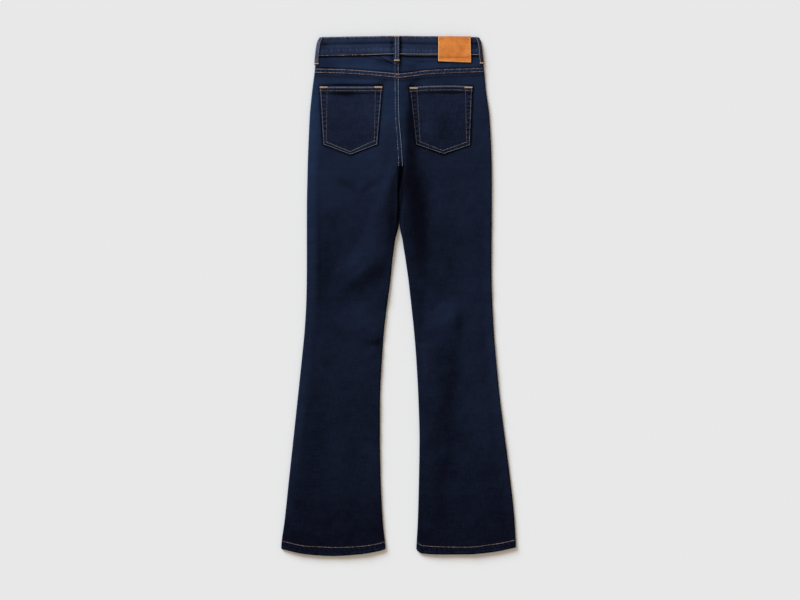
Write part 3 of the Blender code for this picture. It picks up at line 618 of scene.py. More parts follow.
    def front_low(self, x: Numbers, y: Numbers) -> Array:
        """The underside of the front layer."""
        return self.crotch_lift(x, y) + self.mound_height(x, y)

    def plain_back(self, x: Numbers, y: Numbers) -> Array:
        """The upper side of the back layer without its creases."""
        return self.front_low(x, y) + 2 * self.cloth + self.layer_space(x, y)

    def back_high(self, x: Numbers, y: Numbers) -> Array:
        """The upper side of the back layer, never lower than the front layer allows."""
        lowest = self.front_low(x, y) + 2 * self.cloth + self.laid_gap
        return np.maximum(self.plain_back(x, y) + self.relief(x, y), lowest)

    def band_end_low(self, x: Numbers, y: Numbers) -> Array:
        """The underside of the waistband's right end, which rises over the left end."""
        over = 1.0 - smooth((x - self.middle(y) - self.overlap - self.lap_margin) / self.lap_fall)
        return self.mound_height(x, y) + (self.band_cloth + self.laid_gap) * over

    def band_high(self, x: Numbers, y: Numbers) -> Array:
        """The upper side of the waistband's back run.

        Args:
            x: Places across.
            y: Places along.

        Returns:
            The height.
        """
        lapped = plateau(x - self.middle(y) - self.lap_fall / 2, self.lap_half, self.lap_fade)
        space = mix(self.band_space, self.overlap_space, lapped)
        return self.mound_height(x, y) + 2 * self.band_cloth + space + self.relief(x, y)

    def upper(self, x: Numbers, y: Numbers) -> Array:
        """The highest face of the garment itself: the waistband, stepping down to the yoke.

        Args:
            x: Places across.
            y: Places along.

        Returns:
            The height.
        """
        below = self.band_seam(x) - self.over_seam - y
        above = np.maximum(self.band_high(x, y), self.back_high(x, y))
        return mix(above, self.back_high(x, y), smooth(below / self.band_step))

    # Relief of the back layer.

    def creases(self, x: Numbers, y: Numbers) -> Array:
        """The creases' soft ridges and troughs.

        Args:
            x: Places across.
            y: Places along.

        Returns:
            The height they add.
        """
        total = 0.0
        for start_x, start_y, end_x, end_y, width, height in CREASES:
            run_x, run_y = end_x - start_x, end_y - start_y
            along, across = turned(x, y, start_x, start_y, degrees(atan2(run_y, run_x)))
            share = plateau(along / np.hypot(run_x, run_y) - 0.5, 0.12, 0.45)
            total = total + height * bell(across, width) * share
        return total

    def ripples(self, x: Numbers, y: Numbers) -> Array:
        """Small uneven waves, the same ones each time.

        Args:
            x: Places across.
            y: Places along.

        Returns:
            The height they add.
        """
        draw = np.random.default_rng(self.ripple_seed)
        total = 0.0
        for _ in range(self.ripple_count):
            turn, phase = draw.uniform(0.0, pi), draw.uniform(0.0, 2 * pi)
            wave = 2 * pi / draw.uniform(0.016, 0.085)
            total = total + np.cos(wave * (x * cos(turn) + y * sin(turn)) + phase)
        return self.ripple_height * total

    def fell(self, x: Numbers, y: Numbers) -> Array:
        """The raised band of the felled centre seam.

        Args:
            x: Places across.
            y: Places along.

        Returns:
            The height it adds.
        """
        across = np.abs(x - self.middle(y)) - self.fell_half
        start = smooth((y - self.crotch_seam_y) / self.fell_start)
        return self.fell_height * (1.0 - smooth(across / self.fell_side + 0.5)) * start

    def relief(self, x: Numbers, y: Numbers) -> Array:
        """All that rises from or sinks into the back layer's plain form."""
        under_band = 1.0 - smooth((y - self.band_seam(x) + self.band_fade) / self.band_fade)
        return self.creases(x, y) + self.ripples(x, y) + self.fell(x, y) * under_band

    def pocket_away(self, x: Numbers, y: Numbers) -> Array:
        """Distance from the nearer pocket's outline.

        Args:
            x: Places across.
            y: Places along.

        Returns:
            The distance.
        """
        nearest = 1.0
        for pocket in POCKETS:
            corners = pocket["outline"]
            for (ax, ay), (bx, by) in zip(corners, corners[1:] + corners[:1]):
                run = (bx - ax) ** 2 + (by - ay) ** 2
                share = np.clip(((x - ax) * (bx - ax) + (y - ay) * (by - ay)) / run, 0.0, 1.0)
                off = np.hypot(x - ax - share * (bx - ax), y - ay - share * (by - ay))
                nearest = np.minimum(nearest, off)
        return nearest

    def patch_shade(self, x: Numbers, y: Numbers) -> Array:
        """The painted shadow beside the patch, most on its right and below it.

        Args:
            x: Places across.
            y: Places along.

        Returns:
            The tone it takes away.
        """
        left, right, bottom, top = PATCH_BOX
        off_x, off_y = np.maximum(left - x, x - right), np.maximum(bottom - y, 0.0 * y)
        away = np.hypot(np.maximum(off_x, 0.0), np.maximum(off_y, 0.0))
        shadow = 1.0 - smooth((away - self.patch_rim) / np.where(x > right, *self.patch_fades))
        return self.patch_shadow * shadow * (y < top + 0.01)

    def fade(self, x: Numbers, y: Numbers, hidden: Numbers = 0.0) -> Array:
        """The cloth's tone, from 0 in deep folds to 1 on worn places, with painted shade and
        highlights.

        Args:
            x: Across.
            y: Along.
            hidden: 1 on the underside, which has only the broad spots, and weaker, and no painted
                shadow beside the patch.

        Returns:
            The tone.
        """
        sign = self.sign_at(x, y)
        inside = sign * (self.outer_edge(sign, y) - x)
        # Painted highlight along the outer side, where light catches the rounded edge.
        at_side = 1.0 - smooth((inside - self.side_worn) / self.side_fade)
        total = TONE_AND_SIDE_HIGHLIGHT.at("fade", y) + TONE_AND_SIDE_HIGHLIGHT.at_side("side", sign, y) * at_side
        for spot in WEAR_AND_SHADE_SPOTS:
            seen = 1.0 - (self.hidden_broad if spot[4] >= self.broad_spot else 1.0) * hidden
            total = total + seen * self.spot(x, y, spot)
        # Adds the painted shadow of the cleft, and takes off the painted shadow beside the patch on
        # the upper side.
        return total + self.spot(x, y, CLEFT_SHADOW) - (1.0 - hidden) * self.patch_shade(x, y)

    @staticmethod
    def spot(x: Numbers, y: Numbers, row: Array) -> Array:
        """What one soft spot adds to the tone: wear, painted shade or a painted highlight.

        Args:
            x: Places across.
            y: Places along.
            row: The spot's row of the table.

        Returns:
            The amount it adds.
        """
        *place, half_length, half_width, amount = row
        along, across = turned(x, y, *place)
        return amount * bell(along, half_length) * bell(across, half_width)


# Shells: closed pieces of cloth between two grids of points.


@dataclass
class Shell:
    """Two matching grids of points that bound one closed piece, and what is marked on them."""

    outer: Array
    inner: Array
    marks: dict[str, Array] = field(default_factory=dict)

    def soften(self, away: Array, radius: float, most: float = 0.85) -> None:
        """Rounds the outer side over towards an edge.

        Args:
            away: Each point's distance from the edge.
            radius: How far in the rounding starts.
            most: The largest share of the thickness that is taken off.
        """
        share = np.clip(1.0 - away / radius, 0.0, 1.0)
        fall = most * (1.0 - np.sqrt(1.0 - share**2))
        self.outer = self.outer + (self.inner - self.outer) * fall[..., None]

    def rest(self, least: float) -> None:
        """Keeps the outer side from sinking below a height."""
        self.outer[..., 2] = np.maximum(self.outer[..., 2], least)

    def views(self) -> Array:
        """X, Y and Z of the outer side, as views on it."""
        return np.moveaxis(self.outer, 2, 0)

    def runs(self) -> Array:
        """How far along its row each point lies."""
        steps = np.linalg.norm(np.diff(self.outer, axis=1), axis=2)
        return np.concatenate([np.zeros((len(steps), 1)), np.cumsum(steps, axis=1)], axis=1)

    def normals(self) -> Array:
        """Unit normals of the outer grid, pointing away from the inner one.

        Returns:
            The normals.
        """
        along = np.gradient(self.outer, axis=0)
        across = np.gradient(self.outer, axis=1)
        normal = np.cross(across, along)
        normal /= np.maximum(np.linalg.norm(normal, axis=2, keepdims=True), 1e-12)
        outwards = ((self.outer - self.inner) * normal).sum(2, keepdims=True)
        return normal * np.where(outwards < 0.0, -1.0, 1.0)

    def level(self, mark: str, value: float, first: int = 0, last: int | None = None) -> Line:
        """The line along which a mark, which grows with the rows, has a value.

        Args:
            mark: The mark's name.
            value: The value to follow.
            first: The first column of the line.
            last: The column where the line stops, or None for the grid's end.

        Returns:
            The line's points and the normals there.
        """
        grid = self.marks[mark]
        rows = np.arange(len(grid), dtype=float)
        points, normals = [], []
        facing = self.normals()
        for j in range(*slice(first, last).indices(grid.shape[1])):
            at = float(np.interp(value, grid[:, j], rows))
            i = min(int(at), len(grid) - 2)
            points.append(mix(self.outer[i, j], self.outer[i + 1, j], at - i))
            normals.append(mix(facing[i, j], facing[i + 1, j], at - i))
        return np.array(points), np.array(normals)

    def grain(self) -> Array:
        """Each point's place in the cloth, in metres: across the rows, and up the piece.

        Returns:
            The places.
        """
        across = self.runs()
        centre = self.outer.shape[1] // 2
        turned = np.sign(self.outer[0, -1, 0] - self.outer[0, 0, 0]) or 1.0
        across = self.outer[:, centre, 0][:, None] + turned * (across - across[:, centre][:, None])
        return np.stack([across, self.outer[..., 1]], axis=2)

    def cut(self) -> tuple[float, float, float]:
        """The flat cut of the piece.

        Returns:
            The longest row, the longest column and the area.
        """
        across = np.linalg.norm(np.diff(self.outer, axis=1), axis=2)
        along = np.linalg.norm(np.diff(self.outer, axis=0), axis=2)
        a, b = self.outer[:-1, :-1], self.outer[:-1, 1:]
        c, d = self.outer[1:, 1:], self.outer[1:, :-1]
        area = np.linalg.norm(np.cross(c - a, d - b), axis=2).sum() / 2
        width, length = float(across.sum(1).max()), float(along.sum(0).max())
        return width, length, float(min(area, width * length))

    def faces(self) -> Array:
        """The grid's quads, as indices into its points.

        Returns:
            Four indices to a row.
        """
        rows, columns = self.outer.shape[:2]
        index = np.arange(rows * columns).reshape(rows, columns)
        corners = (index[:-1, :-1], index[:-1, 1:], index[1:, 1:], index[1:, :-1])
        return np.stack(corners, axis=-1).reshape(-1, 4)

    def mesh(self, name: str) -> bpy.types.Mesh:
        """One closed mesh with its marks as attributes and its grain as a UV map.

        Args:
            name: The mesh's name.

        Returns:
            The mesh.
        """
        rows, columns = self.outer.shape[:2]
        count = rows * columns
        index = np.arange(count).reshape(rows, columns)
        upper = self.faces()
        border = np.concatenate([index[0, :-1], index[:-1, -1], index[-1, :0:-1], index[:0:-1, 0]])
        after = np.roll(border, -1)
        rim = np.stack([after, border, border + count, after + count], axis=-1)
        faces = np.concatenate([upper, upper[:, ::-1] + count, rim])
        points = np.concatenate([self.outer.reshape(-1, 3), self.inner.reshape(-1, 3)])
        a, b, c, d = (points[faces[:, k]] for k in range(4))
        volume = (a * np.cross(b, c)).sum() + (a * np.cross(c, d)).sum()
        if volume < 0.0:
            faces = faces[:, ::-1]
        made = bpy.data.meshes.new(name)
        made.from_pydata(points.tolist(), [], faces.tolist())
        for mark, grid in self.marks.items():
            values = np.tile(np.asarray(grid, np.float32).ravel(), 2)
            made.attributes.new(mark, "FLOAT", "POINT").data.foreach_set("value", values)
        grain = np.tile(self.grain().reshape(-1, 2), (2, 1))
        loops = np.empty(len(made.loops), np.int32)
        made.loops.foreach_get("vertex_index", loops)
        layer = made.uv_layers.new(name="grain")
        layer.data.foreach_set("uv", grain[loops].astype(np.float32).ravel())
        made.shade_smooth()
        made.set_sharp_from_angle(angle=radians(55))
        return made


def slab(x: Array, y: Array, outer_z: Array, inner_z: Array) -> Shell:
    """A shell whose two sides lie at the same places."""
    return Shell(points_of(x, y, outer_z), points_of(x, y, inner_z))


class Surface:
    """The outer sides of some shells, whose height can be read at any place."""

    def __init__(self, shells: Sequence[Shell], face: Face = Face.UPPER) -> None:
        """Builds the search tree.

        Args:
            shells: The shells.
            face: The side that is read, from above or from below.
        """
        points, faces, count = [], [], 0
        for shell in shells:
            points.append(shell.outer.reshape(-1, 3))
            faces.append(shell.faces() + count)
            count += len(points[-1])
        places, corners = np.concatenate(points), np.concatenate(faces)
        self.tree = BVHTree.FromPolygons(places.tolist(), corners.tolist())
        self.face = face

    def __call__(self, x: Numbers, y: Numbers) -> Array:
        """The height at each place, held from the last hit where there is none.

        Args:
            x: Places across.
            y: Places along.

        Returns:
            The heights.
        """
        found, last = [], 0.0
        down = Vector((0.0, 0.0, -float(self.face.value)))
        for place_x, place_y in zip(np.ravel(x), np.ravel(y)):
            start = Vector((place_x, place_y, 0.0)) - down
            hit = self.tree.ray_cast(start, down)[0]
            last = last if hit is None else hit.z
            found.append(last)
        return np.array(found)


@dataclass(frozen=True)
class PanelRow:
    """One row of a panel, between its two edges."""

    inner_x: float
    outer_x: float
    inner_turn: float
    outer_turn: float
    line: Curve
    cloth: float


@dataclass(frozen=True)
class PanelMaker:
    """Makes a panel's shell from its rows, with turned edges at the outline."""

    form: Form
    side: Side
    face: Face
    flat_columns: int = 112
    facets: int = 12
    seam_pitch: float = 0.0006
    least_half: float = 0.00002

    def edge_columns(self, edge_x: float, inwards: int, turn: float, cloth: float) -> Array:
        """The columns of one edge, from the edge inwards.

        Args:
            edge_x: Where the edge is.
            inwards: The sign of X that leads into the panel.
            turn: 1 where the cloth turns right round, and 0 at a flat seam.
            cloth: The thickness.

        Returns:
            Rows of the turn's centre, the place where heights are read, the outer X, the
            inner X and the share of the full height.
        """
        start = (1.0 - turn) * pi / 2
        radius = self.form.panel_turn
        centre = edge_x + inwards * radius * cos(start)
        angle = np.linspace(start, pi / 2, self.facets + 1)
        shift = inwards * np.arange(self.facets + 1) * self.seam_pitch * (1.0 - turn)
        outer_x = centre - inwards * radius * np.cos(angle) + shift
        inner_x = centre - inwards * (radius - cloth) * np.cos(angle) + shift
        level = np.full_like(angle, centre)
        return np.stack([level, centre + shift, outer_x, inner_x, np.sin(angle)])

    def row_columns(self, row: PanelRow) -> Array:
        """All columns of one row, from the inner edge to the outer edge.

        Args:
            row: The row.

        Returns:
            The columns, given as an edge's are.
        """
        sign = self.side.value
        inner = self.edge_columns(row.inner_x, sign, row.inner_turn, row.cloth)
        outer = self.edge_columns(row.outer_x, -sign, row.outer_turn, row.cloth)
        x = np.linspace(inner[2, -1], outer[2, -1], self.flat_columns + 1)[1:-1]
        flat = np.stack([x, x, x, x, np.ones_like(x)])
        return np.concatenate([inner, flat, outer[:, ::-1]], axis=1)

    def shell(self, rows: Sequence[PanelRow], low: Height, high: Height) -> Shell:
        """The panel's shell.

        Args:
            rows: The rows, from the hem up.
            low: The underside of the garment's front layer.
            high: The upper side of its back layer.

        Returns:
            The shell.
        """
        columns = np.stack([self.row_columns(row) for row in rows], axis=1)
        centre, sample, outer_x, inner_x, share = columns
        y = np.stack([row.line(centre[i]) for i, row in enumerate(rows)])
        cloth = np.array([[row.cloth] for row in rows])
        face = self.face.value
        middle = (low(centre, y) + high(centre, y)) / 2
        full = high(sample, y) if self.face is Face.UPPER else low(sample, y)
        height = np.abs(full - middle)
        outer_z = middle + face * np.maximum(height * share, self.least_half)
        inner_z = middle + face * np.maximum((height - cloth) * share, self.least_half)
        shell = Shell(points_of(outer_x, y, outer_z), points_of(inner_x, y, inner_z))
        shell.marks["fade"] = self.form.fade(outer_x, y, 1.0 if self.face is Face.UNDER else 0.0)
        return shell

    def edge_at(self, edge: Curve, line: Curve, start: float) -> float:
        """X where an edge crosses a line that depends on X.

        Args:
            edge: X of the edge at a height.
            line: Y of the line at a place.
            start: About how high the line is.

        Returns:
            X of the crossing.
        """
        x = float(edge(start))
        for _ in range(3):
            x = float(edge(float(line(x))))
        return x

    def outer_at(self, line: Curve, start: float) -> float:
        """X where the garment's outer edge crosses a line."""
        return self.edge_at(lambda y: self.form.outer_edge(self.side.value, y), line, start)


# Shader nodes.


class Graph:
    """Adds nodes to a tree and links them in few words."""

    def __init__(self, tree: Tree) -> None:
        """Keeps the tree."""
        self.tree = tree

    def node(self, kind: str, inputs: dict | None = None, **settings: object) -> bpy.types.Node:
        """A node with its settings and inputs.

        Args:
            kind: The node's type name.
            inputs: Values or sockets, by the input's name or index.
            **settings: Properties of the node.

        Returns:
            The node.
        """
        made = self.tree.nodes.new(kind)
        for name, value in settings.items():
            setattr(made, name, value)
        self.feed(made, inputs or {})
        return made

    def feed(self, node: bpy.types.Node, inputs: dict) -> None:
        """Links a node's inputs to sockets, or sets them to values.

        Args:
            node: The node.
            inputs: The sockets or values, by the input's name or index.
        """
        for key, value in inputs.items():
            if isinstance(value, Socket):
                self.tree.links.new(value, node.inputs[key])
            else:
                node.inputs[key].default_value = value

    def use(self, group: Tree, inputs: dict) -> Sequence[Socket]:
        """The outputs of a node group that is placed in this tree."""
        return self.node("ShaderNodeGroup", inputs, node_tree=group).outputs

    def math(self, kind: str, first: object, second: object = 0.0, clamp: bool = False) -> Socket:
        """The result of a Math node."""
        inputs = {0: first, 1: second}
        return self.node("ShaderNodeMath", inputs, operation=kind, use_clamp=clamp).outputs[0]

    def minus(self, first: object, second: object) -> Socket:
        """The first value less the second."""
        return self.math("SUBTRACT", first, second)

    def times(self, first: object, second: object) -> Socket:
        """The product of two values."""
        return self.math("MULTIPLY", first, second)

    def plus(self, total: object, *terms: tuple[Socket, object]) -> Socket:
        """A value with other values added to it, each times its weight.

        Args:
            total: The first value.
            *terms: The other values and their weights.

        Returns:
            The sum.
        """
        for value, weight in terms:
            total = self.math("ADD", total, self.times(value, weight))
        return total

    def blend(self, factor: object, *colours: object) -> Socket:
        """A colour mixed from two, past either end as well.

        Args:
            factor: The share of the second colour.
            *colours: The two colours.

        Returns:
            The mixed colour.
        """
        first, second = (c if isinstance(c, Socket) else (*c, 1.0) for c in colours)
        inputs = {0: factor, 6: first, 7: second}
        settings = {"data_type": "RGBA", "clamp_factor": False, "clamp_result": True}
        return self.node("ShaderNodeMix", inputs, **settings).outputs[2]

    def ranged(self, value: object, low: object, high: object, to: float, end: float) -> Socket:
        """A value mapped smoothly from one range to another."""
        inputs = {"Value": value, "From Min": low, "From Max": high, "To Min": to, "To Max": end}
        return self.node("ShaderNodeMapRange", inputs, interpolation_type="SMOOTHSTEP").outputs[0]

    def attribute(self, name: str) -> Socket:
        """A mark on the mesh, as a value."""
        return self.node("ShaderNodeAttribute", attribute_name=name).outputs["Fac"]

    def place(self) -> Socket:
        """Object coordinates."""
        return self.node("ShaderNodeTexCoord").outputs["Object"]

    def grain(self) -> Socket:
        """The place in the cloth, in metres."""
        return self.node("ShaderNodeUVMap", uv_map="grain").outputs["UV"]

    def stretched(self, vector: object, width: object, length: object) -> Socket:
        """Coordinates divided by a width across and a length along.

        Args:
            vector: The coordinates.
            width: The width.
            length: The length.

        Returns:
            The divided coordinates.
        """
        size = self.node("ShaderNodeCombineXYZ", {0: width, 1: length, 2: width}).outputs[0]
        inputs = {0: vector, 1: size}
        return self.node("ShaderNodeVectorMath", inputs, operation="DIVIDE").outputs[0]

    def noise(self, at: object, scale: object, detail: float = 2.0, rough: float = 0.5) -> Socket:
        """A noise value."""
        inputs = {"Vector": at, "Scale": scale, "Detail": detail, "Roughness": rough}
        return self.node("ShaderNodeTexNoise", inputs).outputs[0]

    def bump(self, strength: float, distance: float, height: object) -> Socket:
        """A normal from a height."""
        inputs = {"Strength": strength, "Distance": distance, "Height": height}
        return self.node("ShaderNodeBump", inputs).outputs[0]


def new_group(
    name: str, inputs: dict[str, float | None], outputs: Sequence[str]
) -> tuple[Tree, Graph, Sequence[Socket]]:
    """A shader node group with named sockets.

    Args:
        name: The group's name.
        inputs: Each input's default by its name, or None where it is a vector.
        outputs: The outputs' names.

    Returns:
        The group, its graph and the values it is given.
    """
    group = bpy.data.node_groups.new(name, "ShaderNodeTree")
    for label, default in inputs.items():
        kind = "NodeSocketVector" if default is None else "NodeSocketFloat"
        socket = group.interface.new_socket(name=label, in_out="INPUT", socket_type=kind)
        if default is not None:
            socket.default_value = default
    for label in outputs:
        group.interface.new_socket(name=label, in_out="OUTPUT", socket_type="NodeSocketFloat")
    graph = Graph(group)
    return group, graph, graph.node("NodeGroupInput").outputs


class Effects:
    """Shader effects that several finishes share, each a node group built once."""

    def __init__(self) -> None:
        """Builds the groups."""
        self.twill, self.slubs = self._twill(), self._slubs()
        self.rows, self.mottle = self._rows(), self._mottle()

    @staticmethod
    def _twill() -> Tree:
        """Warp-faced twill: three warp threads over each weft thread, in steps to the right.

        Returns:
            The group.
        """
        inputs = {"Grain": None, "Pitch": 0.0006}
        group, g, given = new_group("twill_weave", inputs, ("Height", "Weft"))
        cells = g.stretched(given["Grain"], given["Pitch"], given["Pitch"])
        apart = g.node("ShaderNodeSeparateXYZ", {0: cells}).outputs
        warp, pick = g.math("FLOOR", apart[0]), g.math("FLOOR", apart[1])
        step = g.math("FLOORED_MODULO", g.math("ADD", warp, pick), 4.0)
        weft = g.math("LESS_THAN", step, 0.5)
        across, along = (g.minus(g.math("FRACT", part), 0.5) for part in apart[:2])
        warp_round = g.minus(1.0, g.times(g.times(across, across), 4.0))
        weft_round = g.minus(0.6, g.times(g.times(along, along), 2.4))
        over = g.times(warp_round, g.minus(1.0, weft))
        g.node("NodeGroupOutput", {"Height": g.plus(over, (weft_round, weft)), "Weft": weft})
        return group

    @staticmethod
    def _slubs() -> Tree:
        """Uneven yarns: streaks along the warp and fainter ones across.

        Returns:
            The group.
        """
        inputs = {"Grain": None, "Width": 0.002, "Length": 0.05}
        group, g, given = new_group("slub_streaks", inputs, ("Warp", "Weft"))
        down = g.stretched(given["Grain"], given["Width"], given["Length"])
        across = g.stretched(given["Grain"], given["Length"], given["Width"])
        warp = g.minus(g.noise(down, 1.0, 3.0, 0.6), 0.5)
        weft = g.minus(g.noise(across, 1.0, 2.0, 0.6), 0.5)
        g.node("NodeGroupOutput", {"Warp": warp, "Weft": weft})
        return group

    @staticmethod
    def _rows() -> Tree:
        """What sewing does beside an edge: a pressed line under each row, which the denim sinks and
        darkens with painted shade, and wear between.

        Returns:
            The group.
        """
        inputs = {"Away": 1.0, "First Row": 0.0017, "Second Row": 0.0083, "Press": 0.0012}
        group, g, given = new_group("sewn_edge", inputs | {"Place": None}, ("Pressed", "Worn"))
        lines = []
        for label in ("First Row", "Second Row"):
            off = g.math("ABSOLUTE", g.minus(given["Away"], given[label]))
            lines.append(g.ranged(off, 0.0, given["Press"], 1.0, 0.0))
        last = given["Second Row"]
        band = g.ranged(given["Away"], last, g.times(last, 1.5), 1.0, 0.0)
        patchy = g.ranged(g.noise(given["Place"], 240.0, 2.0), 0.38, 0.66, 0.0, 1.0)
        pressed = g.math("MAXIMUM", *lines)
        g.node("NodeGroupOutput", {"Pressed": pressed, "Worn": g.times(band, patchy)})
        return group

    @staticmethod
    def _mottle() -> Tree:
        """Soft cloudy unevenness.

        Returns:
            The group.
        """
        group, g, given = new_group("soft_mottle", {"Place": None, "Scale": 20.0}, ("Cloud",))
        cloud = g.minus(g.noise(given["Place"], given["Scale"], 3.0, 0.55), 0.5)
        g.node("NodeGroupOutput", {"Cloud": cloud})
        return group


def new_material(name: str) -> tuple[Material, Graph, bpy.types.Node]:
    """A material with its graph and its Principled BSDF.

    Args:
        name: The material's name.

    Returns:
        The material, its graph and its shader.
    """
    material = bpy.data.materials.new(name)
    material.use_nodes = True
    return material, Graph(material.node_tree), material.node_tree.nodes["Principled BSDF"]


@dataclass(frozen=True)
class DenimFinish:
    """Indigo denim: twill, uneven yarns, and a tone that is deep in folds and worn at edges, with
    painted shade and highlights.
    """

    name: str
    deep: Colour = (0.0021, 0.0025, 0.0067)
    used: Colour = (0.007, 0.0109, 0.0254)
    worn: Colour = (0.0137, 0.0258, 0.062)
    used_at: float = 0.36
    weft: Colour = (0.06, 0.085, 0.14)
    pitch: float = 0.00055
    weft_share: float = 0.03
    warp_streaks: float = 0.42
    weft_streaks: float = 0.4
    cloud: float = 0.26
    edge_wear: float = 0.3
    press_depth: float = 0.45
    first_row: float = 0.0017
    second_row: float = 0.0083
    roughness: float = 0.88
    specular: float = 0.02
    sheen: float = 0.008
    bump: float = 0.35

    def material(self, effects: Effects) -> Material:
        """The finish as a material.

        Args:
            effects: The shared node groups.

        Returns:
            The material.
        """
        material, g, shader = new_material(self.name)
        grain, place = g.grain(), g.place()
        twill = g.use(effects.twill, {"Grain": grain, "Pitch": self.pitch})
        slubs = g.use(effects.slubs, {"Grain": grain, "Width": 0.0017, "Length": 0.02})
        cloud = g.use(effects.mottle, {"Place": place, "Scale": 26.0})["Cloud"]
        edge = {"Away": g.attribute("seam_away"), "Place": place}
        edge |= {"First Row": self.first_row, "Second Row": self.second_row}
        rows = g.use(effects.rows, edge)
        # The mesh's tone of wear and painted shade and highlights, with streaks, mottle, wear
        # beside the rows and painted shade along each pressed row.
        fade = g.plus(
            g.attribute("fade"),
            (slubs["Warp"], self.warp_streaks),
            (slubs["Weft"], self.weft_streaks),
            (cloud, self.cloud),
            (rows["Worn"], self.edge_wear),
            (rows["Pressed"], -self.press_depth),
        )
        fade = g.math("MAXIMUM", fade, 0.0)
        low = g.math("DIVIDE", fade, self.used_at, clamp=True)
        high = g.math("DIVIDE", g.minus(fade, self.used_at), 1.0 - self.used_at)
        dyed = g.blend(low, self.deep, self.used)
        dyed = g.blend(g.math("MAXIMUM", high, 0.0), dyed, self.worn)
        height = g.math("ADD", twill["Height"], slubs["Warp"])
        sunk = g.minus(height, g.times(rows["Pressed"], 2.0))
        looks = {
            "Base Color": g.blend(g.times(twill["Weft"], self.weft_share), dyed, self.weft),
            "Normal": g.bump(self.bump, 0.00025, sunk),
            "Roughness": g.plus(self.roughness, (cloud, 0.12)),
            "Specular IOR Level": self.specular,
            "Sheen Weight": self.sheen,
            "Sheen Roughness": 0.5,
            "Sheen Tint": (0.45, 0.55, 0.85, 1.0),
        }
        g.feed(shader, looks)
        return material


@dataclass(frozen=True)
class ThreadFinish:
    """Spun thread, each stitch a little different."""

    name: str
    colour: Colour = (0.26, 0.115, 0.05)
    pale: Colour = (0.34, 0.29, 0.29)
    dark: Colour = (0.06, 0.035, 0.025)
    roughness: float = 0.62
    specular: float = 0.25

    def material(self) -> Material:
        """The finish as a material.

        Returns:
            The material.
        """
        material, g, shader = new_material(self.name)
        fibres, given = g.noise(g.place(), 1800.0, 2.0), g.attribute("thread_tone")
        spun = g.blend(g.ranged(given, 0.72, 0.95, 0.0, 1.0), self.colour, self.pale)
        tone = g.times(g.ranged(given, 0.35, 0.6, 0.35, 1.0), g.ranged(fibres, 0.3, 0.7, 0.75, 1.1))
        least, most = self.roughness - 0.08, self.roughness + 0.08
        looks = {
            "Base Color": g.blend(tone, self.dark, spun),
            "Normal": g.bump(0.4, 0.0001, fibres),
            "Roughness": g.ranged(fibres, 0.2, 0.8, least, most),
            "Specular IOR Level": self.specular,
        }
        g.feed(shader, looks)
        return material


@dataclass(frozen=True)
class LeatherFinish:
    """Tan leather with a pebbled grain, pale cut edges and a pressed border line."""

    name: str
    tan: Colour = (0.68, 0.215, 0.034)
    brown: Colour = (0.44, 0.105, 0.014)
    pale: Colour = (0.86, 0.46, 0.19)
    border: float = 0.0086
    roughness: float = 0.52

    def material(self, effects: Effects) -> Material:
        """The finish as a material.

        Args:
            effects: The shared node groups.

        Returns:
            The material.
        """
        material, g, shader = new_material(self.name)
        place, away = g.place(), g.attribute("edge_away")
        cloud = g.use(effects.mottle, {"Place": place, "Scale": 90.0})["Cloud"]
        fine = g.use(effects.mottle, {"Place": place, "Scale": 420.0})["Cloud"]
        inputs = {"Vector": place, "Scale": 1500.0}
        cells = g.node("ShaderNodeTexVoronoi", inputs, feature="DISTANCE_TO_EDGE").outputs
        pores = g.ranged(cells["Distance"], 0.0, 0.16, 0.0, 1.0)
        off = g.math("ABSOLUTE", g.minus(g.attribute("bottom_away"), self.border))
        inside = g.ranged(away, 0.003, 0.005, 0.0, 1.0)
        groove = g.times(g.ranged(off, 0.0, 0.0012, 1.0, 0.0), inside)
        fold = g.ranged(g.attribute("top_away"), 0.0006, 0.0026, 1.0, 0.0)
        shade = g.plus(g.times(cloud, 2.0), (fine, 1.6), (groove, 0.7), (fold, 0.6))
        shade = g.math("ADD", shade, g.times(g.minus(1.0, pores), 0.25), clamp=True)
        rim = g.times(g.ranged(away, 0.001, 0.0026, 0.62, 0.0), g.minus(1.0, fold))
        height = g.minus(g.times(pores, 0.35), g.times(groove, 1.6))
        looks = {
            "Base Color": g.blend(rim, g.blend(shade, self.tan, self.brown), self.pale),
            "Normal": g.bump(0.55, 0.0003, height),
            "Roughness": g.ranged(pores, 0.0, 1.0, self.roughness + 0.15, self.roughness),
            "Specular IOR Level": 0.35,
        }
        g.feed(shader, looks)
        return material


@dataclass(frozen=True)
class MetalFinish:
    """Antiqued copper with a brushed, slightly tarnished face."""

    name: str
    bright: Colour = (0.52, 0.3, 0.16)
    tarnish: Colour = (0.12, 0.07, 0.045)
    roughness: float = 0.34

    def material(self, effects: Effects) -> Material:
        """The finish as a material.

        Args:
            effects: The shared node groups.

        Returns:
            The material.
        """
        material, g, shader = new_material(self.name)
        place = g.place()
        cloud = g.use(effects.mottle, {"Place": place, "Scale": 320.0})["Cloud"]
        brushed = g.noise(g.stretched(place, 0.0002, 0.004), 1.0, 2.0)
        shade = g.math("ADD", g.times(cloud, 1.4), 0.25, clamp=True)
        looks = {
            "Base Color": g.blend(shade, self.bright, self.tarnish),
            "Normal": g.bump(0.2, 0.0001, brushed),
            "Roughness": g.ranged(brushed, 0.3, 0.7, self.roughness, self.roughness + 0.2),
            "Metallic": 1.0,
        }
        g.feed(shader, looks)
        return material


